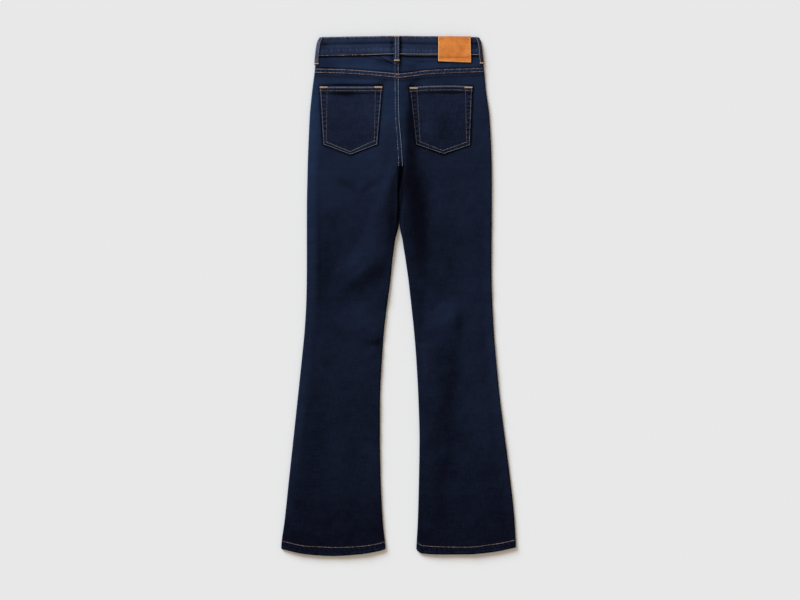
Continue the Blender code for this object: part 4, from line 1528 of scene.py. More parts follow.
@dataclass
class Wardrobe:
    """All finishes of the garment, as materials."""

    effects: Effects = field(default_factory=Effects)

    def __post_init__(self) -> None:
        """Makes the materials."""
        self.denim = DenimFinish("indigo_denim").material(self.effects)
        self.band = DenimFinish(
            "waistband_indigo",
            used=(0.0078, 0.0113, 0.0256),
            worn=(0.0175, 0.0272, 0.06),
            first_row=0.0016,
            second_row=0.0345,
            edge_wear=0.1,
        ).material(self.effects)
        self.pocket = DenimFinish(
            "pocket_indigo",
            deep=(0.002, 0.0026, 0.0068),
            used=(0.006, 0.0085, 0.02),
            worn=(0.0125, 0.019, 0.044),
            warp_streaks=1.1,
            weft_streaks=0.95,
            first_row=0.0014,
            second_row=0.0014,
            edge_wear=0.2,
        ).material(self.effects)
        self.leather = LeatherFinish("tan_leather").material(self.effects)
        self.metal = MetalFinish("antique_copper").material(self.effects)
        self.threads = {finish.name: finish.material() for finish in THREADS}


THREADS = (
    ThreadFinish("seam_thread"),
    ThreadFinish("seat_thread", (0.11, 0.075, 0.08), (0.2, 0.25, 0.33)),
    ThreadFinish("pocket_thread", (0.165, 0.122, 0.108), (0.215, 0.22, 0.26), (0.03, 0.03, 0.042)),
    ThreadFinish("hem_thread", (0.22, 0.12, 0.075), (0.3, 0.24, 0.24)),
    ThreadFinish("tack_thread", (0.56, 0.34, 0.17), (0.64, 0.44, 0.26), (0.26, 0.14, 0.06)),
    ThreadFinish("loop_thread", (0.11, 0.085, 0.09), (0.19, 0.185, 0.23), (0.03, 0.026, 0.034)),
)


# Pieces in the scene.


def place_piece(name: str, mesh: bpy.types.Mesh, material: Material) -> bpy.types.Object:
    """Puts a piece in the scene and lets it ride on the garment.

    Args:
        name: The piece's name.
        mesh: Its mesh, in place.
        material: Its material.

    Returns:
        The piece.
    """
    mesh.materials.clear()
    mesh.materials.append(material)
    piece = bpy.data.objects.new(name, mesh)
    bpy.context.scene.collection.objects.link(piece)
    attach(piece, ROOT)
    triangles = sum(len(polygon.vertices) - 2 for polygon in mesh.polygons)
    LOG.info("%s: %d triangles", name, triangles)
    return piece


def place_for(node: str, slot: Slot, name: str, mesh: bpy.types.Mesh, material: Material) -> None:
    """Puts a piece in the scene in place of a node, which it hides.

    Args:
        node: The node's name.
        slot: Not used.
        name: The piece's name.
        mesh: Its mesh.
        material: Its material.
    """
    piece = place_piece(name, mesh, material)
    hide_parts(node)


@dataclass
class Cloth:
    """A cloth piece in the scene: its shell, the node it stands for and what it lies on."""

    name: str
    node: str
    slot: Slot
    material: Material
    shell: Shell
    rests_on: tuple[str, ...]
    with_pieces: tuple[str, ...] = ()
    hold: Hold = Hold.LAID

    def __post_init__(self) -> None:
        """Puts the piece in the scene."""
        place_for(self.node, self.slot, self.name, self.shell.mesh(self.name), self.material)

    def declare(self) -> None:
        """Works out the size of the piece's cut."""
        width, length, area = self.shell.cut()


# Sub-assemblies.


@dataclass
class Leg:
    """One leg's back and front panels, from the hem up."""

    form: Form
    side: Side
    hem_pitch: float = 0.0015
    leg_pitch: float = 0.0036
    top_pitch: float = 0.0011
    hem_fine: float = 0.024
    top_fine: float = 0.012
    hem_row: float = 0.0155
    hem_puff: float = 0.0005
    rope_pitch: float = 0.0095
    rope_height: float = 0.00028
    rope_slant: float = 0.55
    rope_sway: tuple[float, float] = (1.7, 46)
    rope_strip: tuple[float, float, float] = (0.011, 0.004, 0.006)
    rope_wear: float = 0.12
    rope_wear_strip: tuple[float, float, float] = (0.0125, 0.003, 0.005)
    closed_y: float = 0.156
    parted_y: float = 0.112
    scoop_width: float = 0.068
    scoop_depth: float = 0.072
    front_turn_end: float = 0.008
    hem_round: float = 0.0012
    crotch_span: float = 0.01
    crotch_pitch: float = 0.002
    seam_pitch: float = 0.0008
    seam_dip: float = 0.0005
    dip_reach: float = 0.005
    yoke_shade: tuple[float, float, float] = (0.34, 0.0052, 0.0034)
    pocket_shade: tuple[float, float] = (0.72, 0.0028)
    facing_start: float = 0.0028
    facing_inset: float = 0.01
    facing_cloth: float = 0.0013
    facing_drop: tuple[float, float] = (0.0015, 0.008)

    @property
    def scoop_bottom(self) -> float:
        """Y of the lower end of the front pocket's opening."""
        return self.form.band_station - self.scoop_depth

    def stations(self, top: float, coarse: float = 1.0) -> Array:
        """The nominal heights of a panel's rows.

        Args:
            top: The panel's top.
            coarse: How many times as far apart the plain rows are.

        Returns:
            The heights, close together at the hem, the crotch and the top.
        """
        hem, crotch, seam = self.form.hem_station, self.form.crotch_y, self.form.crotch_seam_y
        near, fine, plain = self.crotch_span, self.crotch_pitch, self.leg_pitch * coarse
        spans = (
            (hem + 0.0016, hem + self.hem_fine, self.hem_pitch),
            (hem + self.hem_fine, crotch - near, plain),
            (crotch - near, crotch, fine),
            (crotch, seam, self.seam_pitch),
            (seam, seam + near, fine),
            (seam + near, top - self.top_fine, plain),
            (top - self.top_fine, top, self.top_pitch),
        )
        edge = hem + np.array([0.0, 0.00025, 0.0006, 0.001])
        return np.concatenate([edge, *(even(*span) for span in spans), [top]])

    def cloth_at(self, station: float) -> float:
        """The thickness at a station, more in the hem."""
        in_hem = 1.0 - smooth((station - self.form.hem_station - self.form.hem_depth) / 0.001)
        return self.form.cloth + self.form.hem_extra * float(in_hem)

    def mark_hem(self, shell: Shell) -> None:
        """Marks how far each point is from the hem's edge and from its row of stitches.

        Args:
            shell: The panel's shell.
        """
        x, y, _ = shell.views()
        away = y - (self.form.hem_station - self.form.hem_shift(self.side.value, x))
        shell.marks["hem_away"] = away
        shell.marks["row_away"] = away - HEM_ROWS.at("away", x)

    def roping(self, shell: Shell) -> None:
        """Puffs the hem and twists it into slanting puckers beside its row of stitches.

        Args:
            shell: The panel's shell, with its hem marked.
        """
        away, (x, _, z) = shell.marks["hem_away"], shell.views()
        full = np.abs(z - shell.inner[..., 2])
        puff = self.hem_puff * plateau(away - self.hem_row / 2, self.hem_row / 4, self.hem_row / 4)
        sway, rate = self.rope_sway
        turn = 2 * pi * (x + self.rope_slant * away) / self.rope_pitch
        twist = np.sin(turn + sway * np.sin(x * rate))
        rope = self.rope_height * twist * strip(away, self.rope_strip)
        z += (puff + rope) * np.clip(full / self.form.cloth, 0.0, 1.0)
        shell.marks["fade"] += self.rope_wear * twist * strip(away, self.rope_wear_strip)

    def back_shell(self) -> Shell:
        """The back panel, from the hem to the yoke seam.

        Returns:
            The shell.
        """
        form, sign = self.form, self.side.value
        maker = PanelMaker(form, self.side, Face.UPPER)

        def top(x: Numbers) -> Array:
            """Y of the panel's top."""
            return form.yoke_line(sign, x)

        rows = []
        for station in self.stations(form.yoke_station):
            line = form.station_line(sign, station, form.yoke_station, top)
            rise = (station - form.crotch_y) / (form.crotch_seam_y - form.crotch_y)
            inner_x = maker.edge_at(lambda y: form.inner_edge(sign, y), line, station)
            edges = inner_x, maker.outer_at(line, station), 1.0 - float(smooth(rise)), 1.0
            rows.append(PanelRow(*edges, line, self.cloth_at(station)))
        shell = maker.shell(rows, form.front_low, form.back_high)
        self.mark_hem(shell)
        x, y, _ = shell.views()
        to_yoke = top(x) - y
        above_hem, below_yoke = shell.marks["hem_away"], np.maximum(to_yoke, 0.0) + 0.05
        shell.marks["seam_away"] = np.minimum(above_hem, below_yoke)
        self.roping(shell)
        dip = self.seam_dip * (1.0 - smooth(to_yoke / self.dip_reach))
        shell.outer[..., 2] -= dip
        shell.inner[..., 2] -= dip
        # Painted shadow below the yoke's lap and round each back pocket's edge.
        (dark, away, reach), (beside, beside_reach) = self.yoke_shade, self.pocket_shade
        shade = dark * bell(to_yoke - away, reach)
        shell.marks["fade"] -= shade + beside * bell(form.pocket_away(x, y), beside_reach)
        shell.soften(above_hem, self.hem_round)
        return shell

    def front_inner(self, maker: PanelMaker, station: float, line: Curve) -> tuple[float, float]:
        """A front panel's inner edge, which parts from the other leg's below the crotch.

        Args:
            maker: The panel's maker.
            station: The row's nominal height.
            line: The row's line.

        Returns:
            X of the edge, and how far it is turned.
        """
        parted = float(smooth((self.closed_y - station) / (self.closed_y - self.parted_y)))
        closed_x = maker.edge_at(self.form.middle, line, station)
        open_x = maker.edge_at(lambda y: self.form.inseam(self.side.value, y), line, station)
        return float(mix(closed_x, open_x, parted)), parted

    def scoop_reach(self, y: Numbers) -> Array:
        """How far in from the side the pocket opening reaches at a height."""
        rise = np.clip((y - self.scoop_bottom) / self.scoop_depth, 0.0, 1.0)
        return self.scoop_width * np.sin(np.arccos(1.0 - rise))

    def front_line(self, station: float) -> Curve:
        """The line of one of the front's rows."""
        form = self.form
        return form.station_line(self.side.value, station, form.band_station, form.band_seam)

    def front_shell(self) -> Shell:
        """The front panel, from the hem to the waistband, with the pocket opening cut out.

        Returns:
            The shell.
        """
        form = self.form
        maker = PanelMaker(form, self.side, Face.UNDER, flat_columns=26)
        scoop = self.scoop_bottom + self.scoop_depth * (1.0 - np.cos(np.linspace(0.0, pi / 2, 25)))
        turned_rows = self.stations(self.scoop_bottom - self.front_turn_end, 2.2)
        rows = []
        for station in np.concatenate([turned_rows, scoop]):
            line = self.front_line(station)
            inner_x, turn = self.front_inner(maker, station, line)
            opened = station > self.scoop_bottom - self.front_turn_end / 2
            reach = float(self.scoop_reach(station)) if opened else 0.0
            outer_x = maker.outer_at(line, station) - self.side.value * reach
            outer_turn = 0.0 if opened else 1.0
            rows.append(PanelRow(inner_x, outer_x, turn, outer_turn, line, self.cloth_at(station)))
        shell = maker.shell(rows, form.front_low, form.plain_back)
        self.mark_hem(shell)
        shell.marks["seam_away"] = shell.marks["hem_away"]
        shell.soften(shell.marks["hem_away"], self.hem_round)
        shell.rest(form.rest)
        return shell

    def facing_shell(self) -> Shell:
        """The denim behind the front pocket opening.

        Returns:
            The shell.
        """
        form, sign = self.form, self.side.value
        maker = PanelMaker(form, self.side, Face.UNDER, flat_columns=30)

        def opening_x(y: Numbers) -> Array:
            """X of the opening's edge."""
            return form.outer_edge(sign, y) - sign * self.scoop_reach(y)

        start, reach = self.facing_drop
        drop = form.cloth + form.laid_gap

        def facing_low(x: Numbers, y: Numbers) -> Array:
            """The facing's underside: over the panel's edge, then down to its level."""
            outside = sign * (x - opening_x(y)) - start
            return form.front_low(x, y) + drop * (1.0 - smooth(outside / reach))

        rows = []
        for share in np.linspace(0.0, 1.0, 36) ** 1.5:
            bottom = self.scoop_bottom + self.facing_start
            station = float(mix(bottom, form.band_station, share))
            line = self.front_line(station)
            inner_x = maker.edge_at(opening_x, line, station) - sign * self.facing_inset
            edges = inner_x, maker.outer_at(line, station), 0.0, 1.0
            rows.append(PanelRow(*edges, line, self.facing_cloth))
        shell = maker.shell(rows, facing_low, form.plain_back)
        shell.marks["seam_away"] = np.full(shell.marks["fade"].shape, 0.05)
        return shell

    def build(self, wardrobe: Wardrobe) -> list[Cloth]:
        """Makes and places the leg's pieces.

        Args:
            wardrobe: The finishes.

        Returns:
            The front panel, the back panel and the facing.
        """
        label, kind = self.side.label, (Slot.DENIM, wardrobe.denim)
        front, back = f"front_leg_{label}", f"back_leg_{label}"
        denim, facing = front + "_denim", f"pocket_facing_{label}"
        shells = self.front_shell(), self.back_shell(), self.facing_shell()
        return [
            Cloth(denim, front, *kind, shells[0], ("floor",), (f"front_thread_{label}",)),
            Cloth(back + "_denim", back, *kind, shells[1], (denim,), (f"hem_thread_{label}",)),
            Cloth(facing + "_denim", "front_" + facing, *kind, shells[2], ("floor", denim)),
        ]


@dataclass
class Yoke:
    """One half of the yoke, from the yoke seam to the waistband."""

    form: Form
    side: Side
    pitch: float = 0.0016
    rim: tuple[float, ...] = (0.0004, 0.0009, 0.0015)
    rows_at: tuple[float, float] = (0.0017, 0.0083)
    lap_height: float = 0.0007
    lap_end: tuple[float, float] = (0.0095, 0.0025)
    pucker_pitch: float = 0.0082
    pucker_slant: float = 0.4
    pucker_sway: tuple[float, float] = (1.3, 57)
    pucker_strip: tuple[float, float, float] = (0.005, 0.002, 0.004)
    pucker_height: float = 0.00032
    pucker_wear: float = 0.26
    fold_line: float = 0.0114
    fold_half: float = 0.0012
    fold_dye: float = 0.95
    band_shadow: float = 0.0008
    shadow_reach: float = 0.0042
    edge_reach: float = 0.0012
    edge_wear: float = 0.6
    edge_round: tuple[float, float] = (0.001, 0.6)
    between_dye: float = 0.12

    def shell(self) -> Shell:
        """The yoke's shell, whose lower edge stands a little above the leg.

        Returns:
            The shell.
        """
        form, sign = self.form, self.side.value
        maker = PanelMaker(form, self.side, Face.UPPER)
        rows = []
        for share in crowded(form.band_station - form.yoke_station, self.pitch, self.rim):

            def line(x: Numbers, share: float = share) -> Array:
                """Y of the row."""
                return mix(form.yoke_line(sign, x), form.band_seam(x), share)

            start = float(mix(form.yoke_station, form.band_station, share))
            inner_x = maker.edge_at(form.middle, line, start)
            rows.append(PanelRow(inner_x, maker.outer_at(line, start), 0.0, 1.0, line, form.cloth))
        shell = maker.shell(rows, form.front_low, form.back_high)
        x, y, z = shell.views()
        away, band_away = y - form.yoke_line(sign, x), form.band_seam(x) - y
        shell.marks["away"] = shell.marks["seam_away"] = away
        start, reach = self.lap_end
        lap = self.lap_height * (1.0 - smooth((away - start) / reach))
        sway, rate = self.pucker_sway
        turn = 2 * pi * (x - self.pucker_slant * away) / self.pucker_pitch
        wave = np.sin(turn + sway * np.sin(x * rate)) * strip(away, self.pucker_strip)
        z += lap + self.pucker_height * wave
        # Painted shadow under the waistband's edge, painted shade along the fold line above the
        # upper row, and wear and painted shade on the puckers.
        under_band = 1.0 - smooth((band_away - self.band_shadow) / self.shadow_reach)
        fold = bell(away - self.fold_line, self.fold_half)
        middle, half, _ = self.pucker_strip
        at_edge, between = 1.0 - smooth(away / self.edge_reach), bell(away - middle, half)
        shell.marks["fade"] += self.pucker_wear * wave - under_band - self.fold_dye * fold
        # Painted highlight along the lap's lower edge, and a darker line between the rows.
        shell.marks["fade"] += self.edge_wear * at_edge - self.between_dye * between
        shell.soften(away, *self.edge_round)
        return shell

    def build(self, wardrobe: Wardrobe) -> list[Cloth]:
        """Makes and places the yoke.

        Args:
            wardrobe: The finishes.

        Returns:
            The yoke.
        """
        label = self.side.label
        names, below = (f"yoke_{label}_denim", f"yoke_{label}"), (f"front_leg_{label}_denim",)
        kind = Slot.DENIM, wardrobe.denim, self.shell()
        return [Cloth(*names, *kind, below, (f"yoke_thread_{label}",))]


@dataclass
class Waistband:
    """The waistband: one strip all the way round, with its ends lapped at the centre front."""

    form: Form
    pitch: float = 0.0016
    front_columns: int = 70
    back_columns: int = 250
    turn_facets: int = 14
    rim: tuple[float, ...] = (*RIM, 0.0018)
    bottom_row: float = 0.0016
    top_row: float = 0.0019
    pucker_pitch: float = 0.0079
    pucker_height: float = 0.00018
    pucker_wear: float = 0.36
    low_waves: Places = ((0.6, 1, 0, 1.6, 61, 0), (0.5, 0.61, 0, 0.9, 23, 1))
    low_strip: tuple[float, float, float] = (0.29, 0.03, 0.1)
    top_waves: Places = ((0.6, 1, 0, 1.4, 47, 2), (0.5, 0.43, 3, 0, 0, 0))
    top_strip: tuple[float, float, float] = (0.86, 0.05, 0.08)
    top_height: float = 0.6
    top_wear: float = 0.7
    hidden_below: float = 0.0032
    hidden_fade: float = 0.002
    top_round: float = 0.0019
    seam_round: tuple[float, float] = (0.0012, 0.7)

    def turn(self, sign: int, y: float) -> Line:
        """The points round one side, from the underside to the top.

        Args:
            sign: The side's sign.
            y: The row's height.

        Returns:
            Outer and inner points.
        """
        form = self.form
        centre_x = float(form.outer_edge(sign, y)) - sign * form.band_turn
        low, high = float(form.mound_height(centre_x, y)), float(form.band_high(centre_x, y))
        middle, height = (low + high) / 2, (high - low) / 2
        angle = np.linspace(-pi / 2, pi / 2, self.turn_facets + 1)
        out_x, out_z = sign * np.cos(angle), np.sin(angle)
        turn, cloth = form.band_turn, form.band_cloth
        outer = points_of(centre_x + out_x * turn, y, middle + out_z * height)
        inner_x, inner_z = out_x * (turn - cloth), out_z * (height - cloth)
        return outer, points_of(centre_x + inner_x, y, middle + inner_z)

    def run(
        self, start: float, end: float, count: int, y: float, height: Height, inwards: int
    ) -> Line:
        """Outer and inner points along a flat run, without its last one.

        Args:
            start: X where the run starts.
            end: X where it ends.
            count: How many steps it has.
            y: The row's height.
            height: The outer side's height.
            inwards: The sign of Z that leads into the cloth.

        Returns:
            The points.
        """
        x = np.linspace(start, end, count + 1)[:-1]
        outer = points_of(x, y, height(x, np.full_like(x, y)))
        return outer, outer + np.array([0.0, 0.0, inwards * self.form.band_cloth])

    def row(self, share: float) -> Line:
        """One row round the waistband.

        Args:
            share: The share of the way from the seam to the top edge.

        Returns:
            Outer and inner points.
        """
        form = self.form

        def line(x: Numbers) -> Array:
            """Y of the row."""
            return mix(form.band_seam(x), form.band_top(x), share)

        nominal = float(mix(form.band_station, form.band_top_station, share))
        y, centre = float(line(0.0)), float(form.middle(nominal))
        left = float(form.outer_edge(-1, line(-0.16))) + form.band_turn
        right = float(form.outer_edge(1, line(0.16))) - form.band_turn
        left_turn, right_turn = self.turn(-1, float(line(left))), self.turn(1, float(line(right)))
        first, last, end_low = centre + form.overlap, centre - form.overlap, form.band_end_low
        runs = (
            self.run(first, left, self.front_columns, y, form.mound_height, 1),
            (left_turn[0][:-1], left_turn[1][:-1]),
            self.run(left, right, self.back_columns, y, form.band_high, -1),
            (right_turn[0][:0:-1], right_turn[1][:0:-1]),
            self.run(right, last, self.front_columns, y, end_low, 1),
            self.run(last, centre, 1, y, end_low, 1),
        )
        outer, inner = (np.concatenate([made[k] for made in runs]) for k in (0, 1))
        outer[:, 1] = inner[:, 1] = line(outer[:, 0])
        return outer, inner

    def shell(self) -> Shell:
        """The waistband's shell, rounded over along its top and bottom edges.

        Returns:
            The shell.
        """
        form = self.form
        depth = form.band_top_station - form.band_station
        rows = [self.row(share) for share in crowded(depth, self.pitch, self.rim)]
        shell = Shell(*(np.stack([row[k] for row in rows]) for k in (0, 1)))
        x, y, z = shell.views()
        below, above = y - form.band_seam(x), form.band_top(x) - y
        shell.marks["row_away"] = below - BAND_EDGES.at("row", x)
        shell.marks["seam_away"] = shell.marks["row_away"] + self.bottom_row
        shell.marks["top_away"] = -above
        share, turn = below / (below + above), 2 * pi * x / self.pucker_pitch
        low = waves(x, turn, self.low_waves) * strip(share, self.low_strip)
        top = waves(x, turn, self.top_waves) * strip(share, self.top_strip)
        puckers = self.pucker_height * (low + self.top_height * top)
        z += np.sign(z - shell.inner[..., 2]) * puckers
        # Wear with painted shade in the band's trough, and wear and painted shade on the puckers.
        worn = BAND_WEAR_AND_SHADE.at("wear", share) + self.pucker_wear * (low + self.top_wear * top)
        hidden = 1.0 - smooth((z - self.hidden_below) / self.hidden_fade)
        shell.marks["fade"] = form.fade(x, y, hidden) + worn
        shell.soften(above, self.top_round)
        shell.soften(below, *self.seam_round)
        shell.rest(form.rest)
        return shell

    def build(self, wardrobe: Wardrobe) -> list[Cloth]:
        """Makes and places the waistband.

        Args:
            wardrobe: The finishes.

        Returns:
            The waistband.
        """
        names, rides = ("waistband_strip", "waistband"), ("leather_patch_tan", "waist_button_metal")
        kind = Slot.BAND, wardrobe.band, self.shell(), ("floor",), ("waistband_thread", *rides)
        return [Cloth(*names, *kind, Hold.FOLDED)]


@dataclass
class BackPocket:
    """A patch pocket with a pointed bottom edge, sewn on with double rows."""

    form: Form
    side: Side
    outline: tuple[tuple[float, float], ...]
    inner_rows: tuple[tuple[float, float], ...]
    sag: tuple[float, float, float, float, float]
    hem_rows: tuple[float, float]
    bow: float
    row_tones: tuple[tuple[float, ...], tuple[float, ...]]
    cloth: float = 0.0014
    hem_extra: float = 0.0007
    hem: float = 0.0088
    pitch: float = 0.0014
    rim: tuple[float, ...] = RIM
    hem_step: float = 0.0008
    hem_face: tuple[float, float] = (0.004, 0.002)
    hem_wear: float = 0.62
    between_half: float = 0.0012
    between_dye: float = 0.35
    under_hem: tuple[float, float] = (0.005, 0.0024)
    under_hem_dye: float = 0.6
    point_share: float = 0.93
    puff: float = 0.0005
    puff_reach: tuple[float, float] = (0.004, 0.03)
    pucker_pitch: float = 0.0092
    pucker_sway: tuple[float, float, float] = (1.1, 83, 0.8)
    pucker_gap: float = 0.1
    pucker_strip: tuple[float, float, float] = (0.0064, 0.0004, 0.0034)
    pucker_ends: tuple[float, float] = (0.02, 0.01)
    pucker_height: float = 0.00024
    pucker_wear: float = 1.35
    strip_wear: float = 0.42
    sag_dye: float = 500
    gape: tuple[float, float, float] = (0.0012, 1.6, 0.01)
    edge_round: float = 0.0011

    def bottom_at(self, share: Array) -> Array:
        """The bottom edge's places at shares across, through the tip.

        Args:
            share: The shares.

        Returns:
            X and Y of each place.
        """
        _, _, right, tip, left = (np.array(place) for place in self.outline)
        first = mix(left, tip, np.clip(share * 2, 0, 1)[:, None])
        second = mix(tip, right, np.clip(share * 2 - 1, 0, 1)[:, None])
        return np.where(share[:, None] < 0.5, first, second)

    def shell(self) -> Shell:
        """The pocket's shell, lying on the leg.

        Returns:
            The shell.
        """
        form = self.form
        left, right = np.array(self.outline[0]), np.array(self.outline[1])
        width, depth = float(right[0] - left[0]), float(left[1] - self.outline[3][1])
        across, up = crowded(width, self.pitch, self.rim), crowded(depth, self.pitch, self.rim)
        bottom, top = self.bottom_at(across), mix(left, right, across[:, None])
        top[:, 1] += self.bow * smooth(4 * across * (1 - across))
        x, y = np.moveaxis(mix(bottom[None], top[None], up[:, None, None]), 2, 0)
        wide = mix(bottom[-1, 0] - bottom[0, 0], width, up)[:, None]
        tall = (top[:, 1] - bottom[:, 1])[None]
        side_away = np.minimum(across, 1 - across)[None] * wide
        top_away = (1 - up)[:, None] * tall
        bottom_away = up[:, None] * tall * self.point_share
        base = form.back_high(x, y) + form.laid_gap / 2
        in_hem = 1.0 - smooth((top_away - self.hem) / self.hem_step)
        edge = np.minimum(np.minimum(side_away, top_away), bottom_away)
        start, reach = self.puff_reach
        domed = self.puff * smooth((edge - start) / reach)
        top_end, bottom_end = self.pucker_ends
        band = strip(side_away, self.pucker_strip)
        band = band * smooth(top_away / top_end) * smooth(bottom_away / bottom_end)
        drift, rate, lead = self.pucker_sway
        sway = drift * np.sin(y * rate) + lead * np.sign(x - x.mean())
        beat = np.sin(2 * pi * y / self.pucker_pitch + sway)
        dots = smooth((beat - self.pucker_gap) / (1 - self.pucker_gap))
        sag_x, sag_y, half_x, half_y, sink = self.sag
        sagged = sink * bell(x - sag_x, half_x) * bell(y - sag_y, half_y)
        thick = self.cloth + self.hem_extra * in_hem
        outer_z = base + thick + domed - self.pucker_height * dots * band - sagged
        opening, spread, end = self.gape
        gape = opening * bell(x - sag_x, half_x * spread) * (1.0 - smooth(top_away / end))
        shell = slab(x, y, outer_z + gape, base + gape)
        shell.marks["seam_away"] = edge
        shell.marks["top_away"] = -top_away
        between = bell(top_away - sum(self.hem_rows) / 2, self.between_half)
        down, half = self.under_hem
        under_hem = bell(top_away - self.hem_rows[1] - down, half)
        start, reach = self.hem_face
        face = 1.0 - smooth((top_away - start) / reach)
        # Painted shade in the pucker hollows, and painted shadow in the sag and under the hem's
        # lower row.
        fade = form.fade(x, y) + (self.strip_wear - self.pucker_wear * dots) * band
        fade = fade - self.sag_dye * sagged + self.hem_wear * face
        shell.marks["fade"] = fade - self.between_dye * between - self.under_hem_dye * under_hem
        shell.soften(edge, self.edge_round)
        return shell

    def build(self, wardrobe: Wardrobe) -> list[Cloth]:
        """Makes and places the pocket.

        Args:
            wardrobe: The finishes.

        Returns:
            The pocket.
        """
        label = self.side.label
        node, below = f"back_pocket_{label}", (f"back_leg_{label}_denim",)
        sewn = f"pocket_thread_{label}", f"pocket_tacks_{label}"
        kind = Slot.POCKET, wardrobe.pocket, self.shell()
        return [Cloth(node + "_denim", node, *kind, below, sewn)]


POCKETS = (
    {
        "side": Side.LEFT,
        "outline": (
            (-0.1633, 0.4316), (-0.0331, 0.4316), (-0.0432, 0.3117), (-0.0992, 0.2905),
            (-0.1558, 0.3117),
        ),
        "inner_rows": (
            (-0.1472, 0.4222), (-0.149, 0.3166), (-0.0998, 0.2966), (-0.05, 0.319),
            (-0.0478, 0.4222),
        ),
        "sag": (-0.11, 0.4156, 0.019, 0.0052, 0.0016),
        "hem_rows": (0.003, 0.0096),
        "bow": 0.0,
        "row_tones": ((0.28, 0.6, 0.6, 0.28), (-0.42, 0.45, 0.25, -0.36)),
    },
    {
        "side": Side.RIGHT,
        "outline": (
            (0.0219, 0.4299), (0.1523, 0.4312), (0.147, 0.3105), (0.092, 0.2919),
            (0.0351, 0.3119),
        ),
        "inner_rows": (
            (0.038, 0.4227), (0.044, 0.317), (0.0907, 0.2988), (0.1396, 0.3162),
            (0.1372, 0.4227),
        ),
        "sag": (0.105, 0.4175, 0.026, 0.0034, 0.0006),
        "hem_rows": (0.002, 0.009),
        "bow": 0.0022,
        "row_tones": ((-0.5, 0.22, 0.5, 0.0), (-0.38, -0.1, 0.05, -0.34)),
    },
)


@dataclass
class Patch:
    """The leather patch, sewn over the waistband and down onto the yoke."""

    form: Form
    slant: float = 0.0024
    narrowing: float = 0.0012
    leather: float = 0.0016
    pitch: float = 0.0013
    rim: tuple[float, ...] = RIM

    def shell(self) -> Shell:
        """The patch's shell.

        Returns:
            The shell.
        """
        left, right, bottom, top = PATCH_BOX
        across = mix(left, right, crowded(right - left, self.pitch, self.rim))
        up = mix(bottom, top, crowded(top - bottom, self.pitch, self.rim))
        x, y = np.meshgrid(across, up)
        share_x, share_y = (x - left) / (right - left), (top - y) / (top - bottom)
        edge_x, edge_y = np.minimum(x - left, right - x), np.minimum(y - bottom, top - y)
        place_x = x - self.narrowing * share_x * (1 - share_y)
        place_y = y + self.slant * (0.4 - share_x) * share_y
        base = self.form.upper(place_x, place_y) + self.form.laid_gap
        shell = slab(place_x, place_y, base + self.leather, base)
        edge = np.minimum(edge_x, edge_y)
        shell.marks = {"edge_away": edge, "top_away": top - y, "bottom_away": y - bottom}
        shell.soften(edge, 0.0009)
        return shell

    def build(self, wardrobe: Wardrobe) -> None:
        """Makes and places the patch."""
        name = "leather_patch_tan"
        place_for("leather_patch", Slot.LEATHER, name, self.shell().mesh(name), wardrobe.leather)


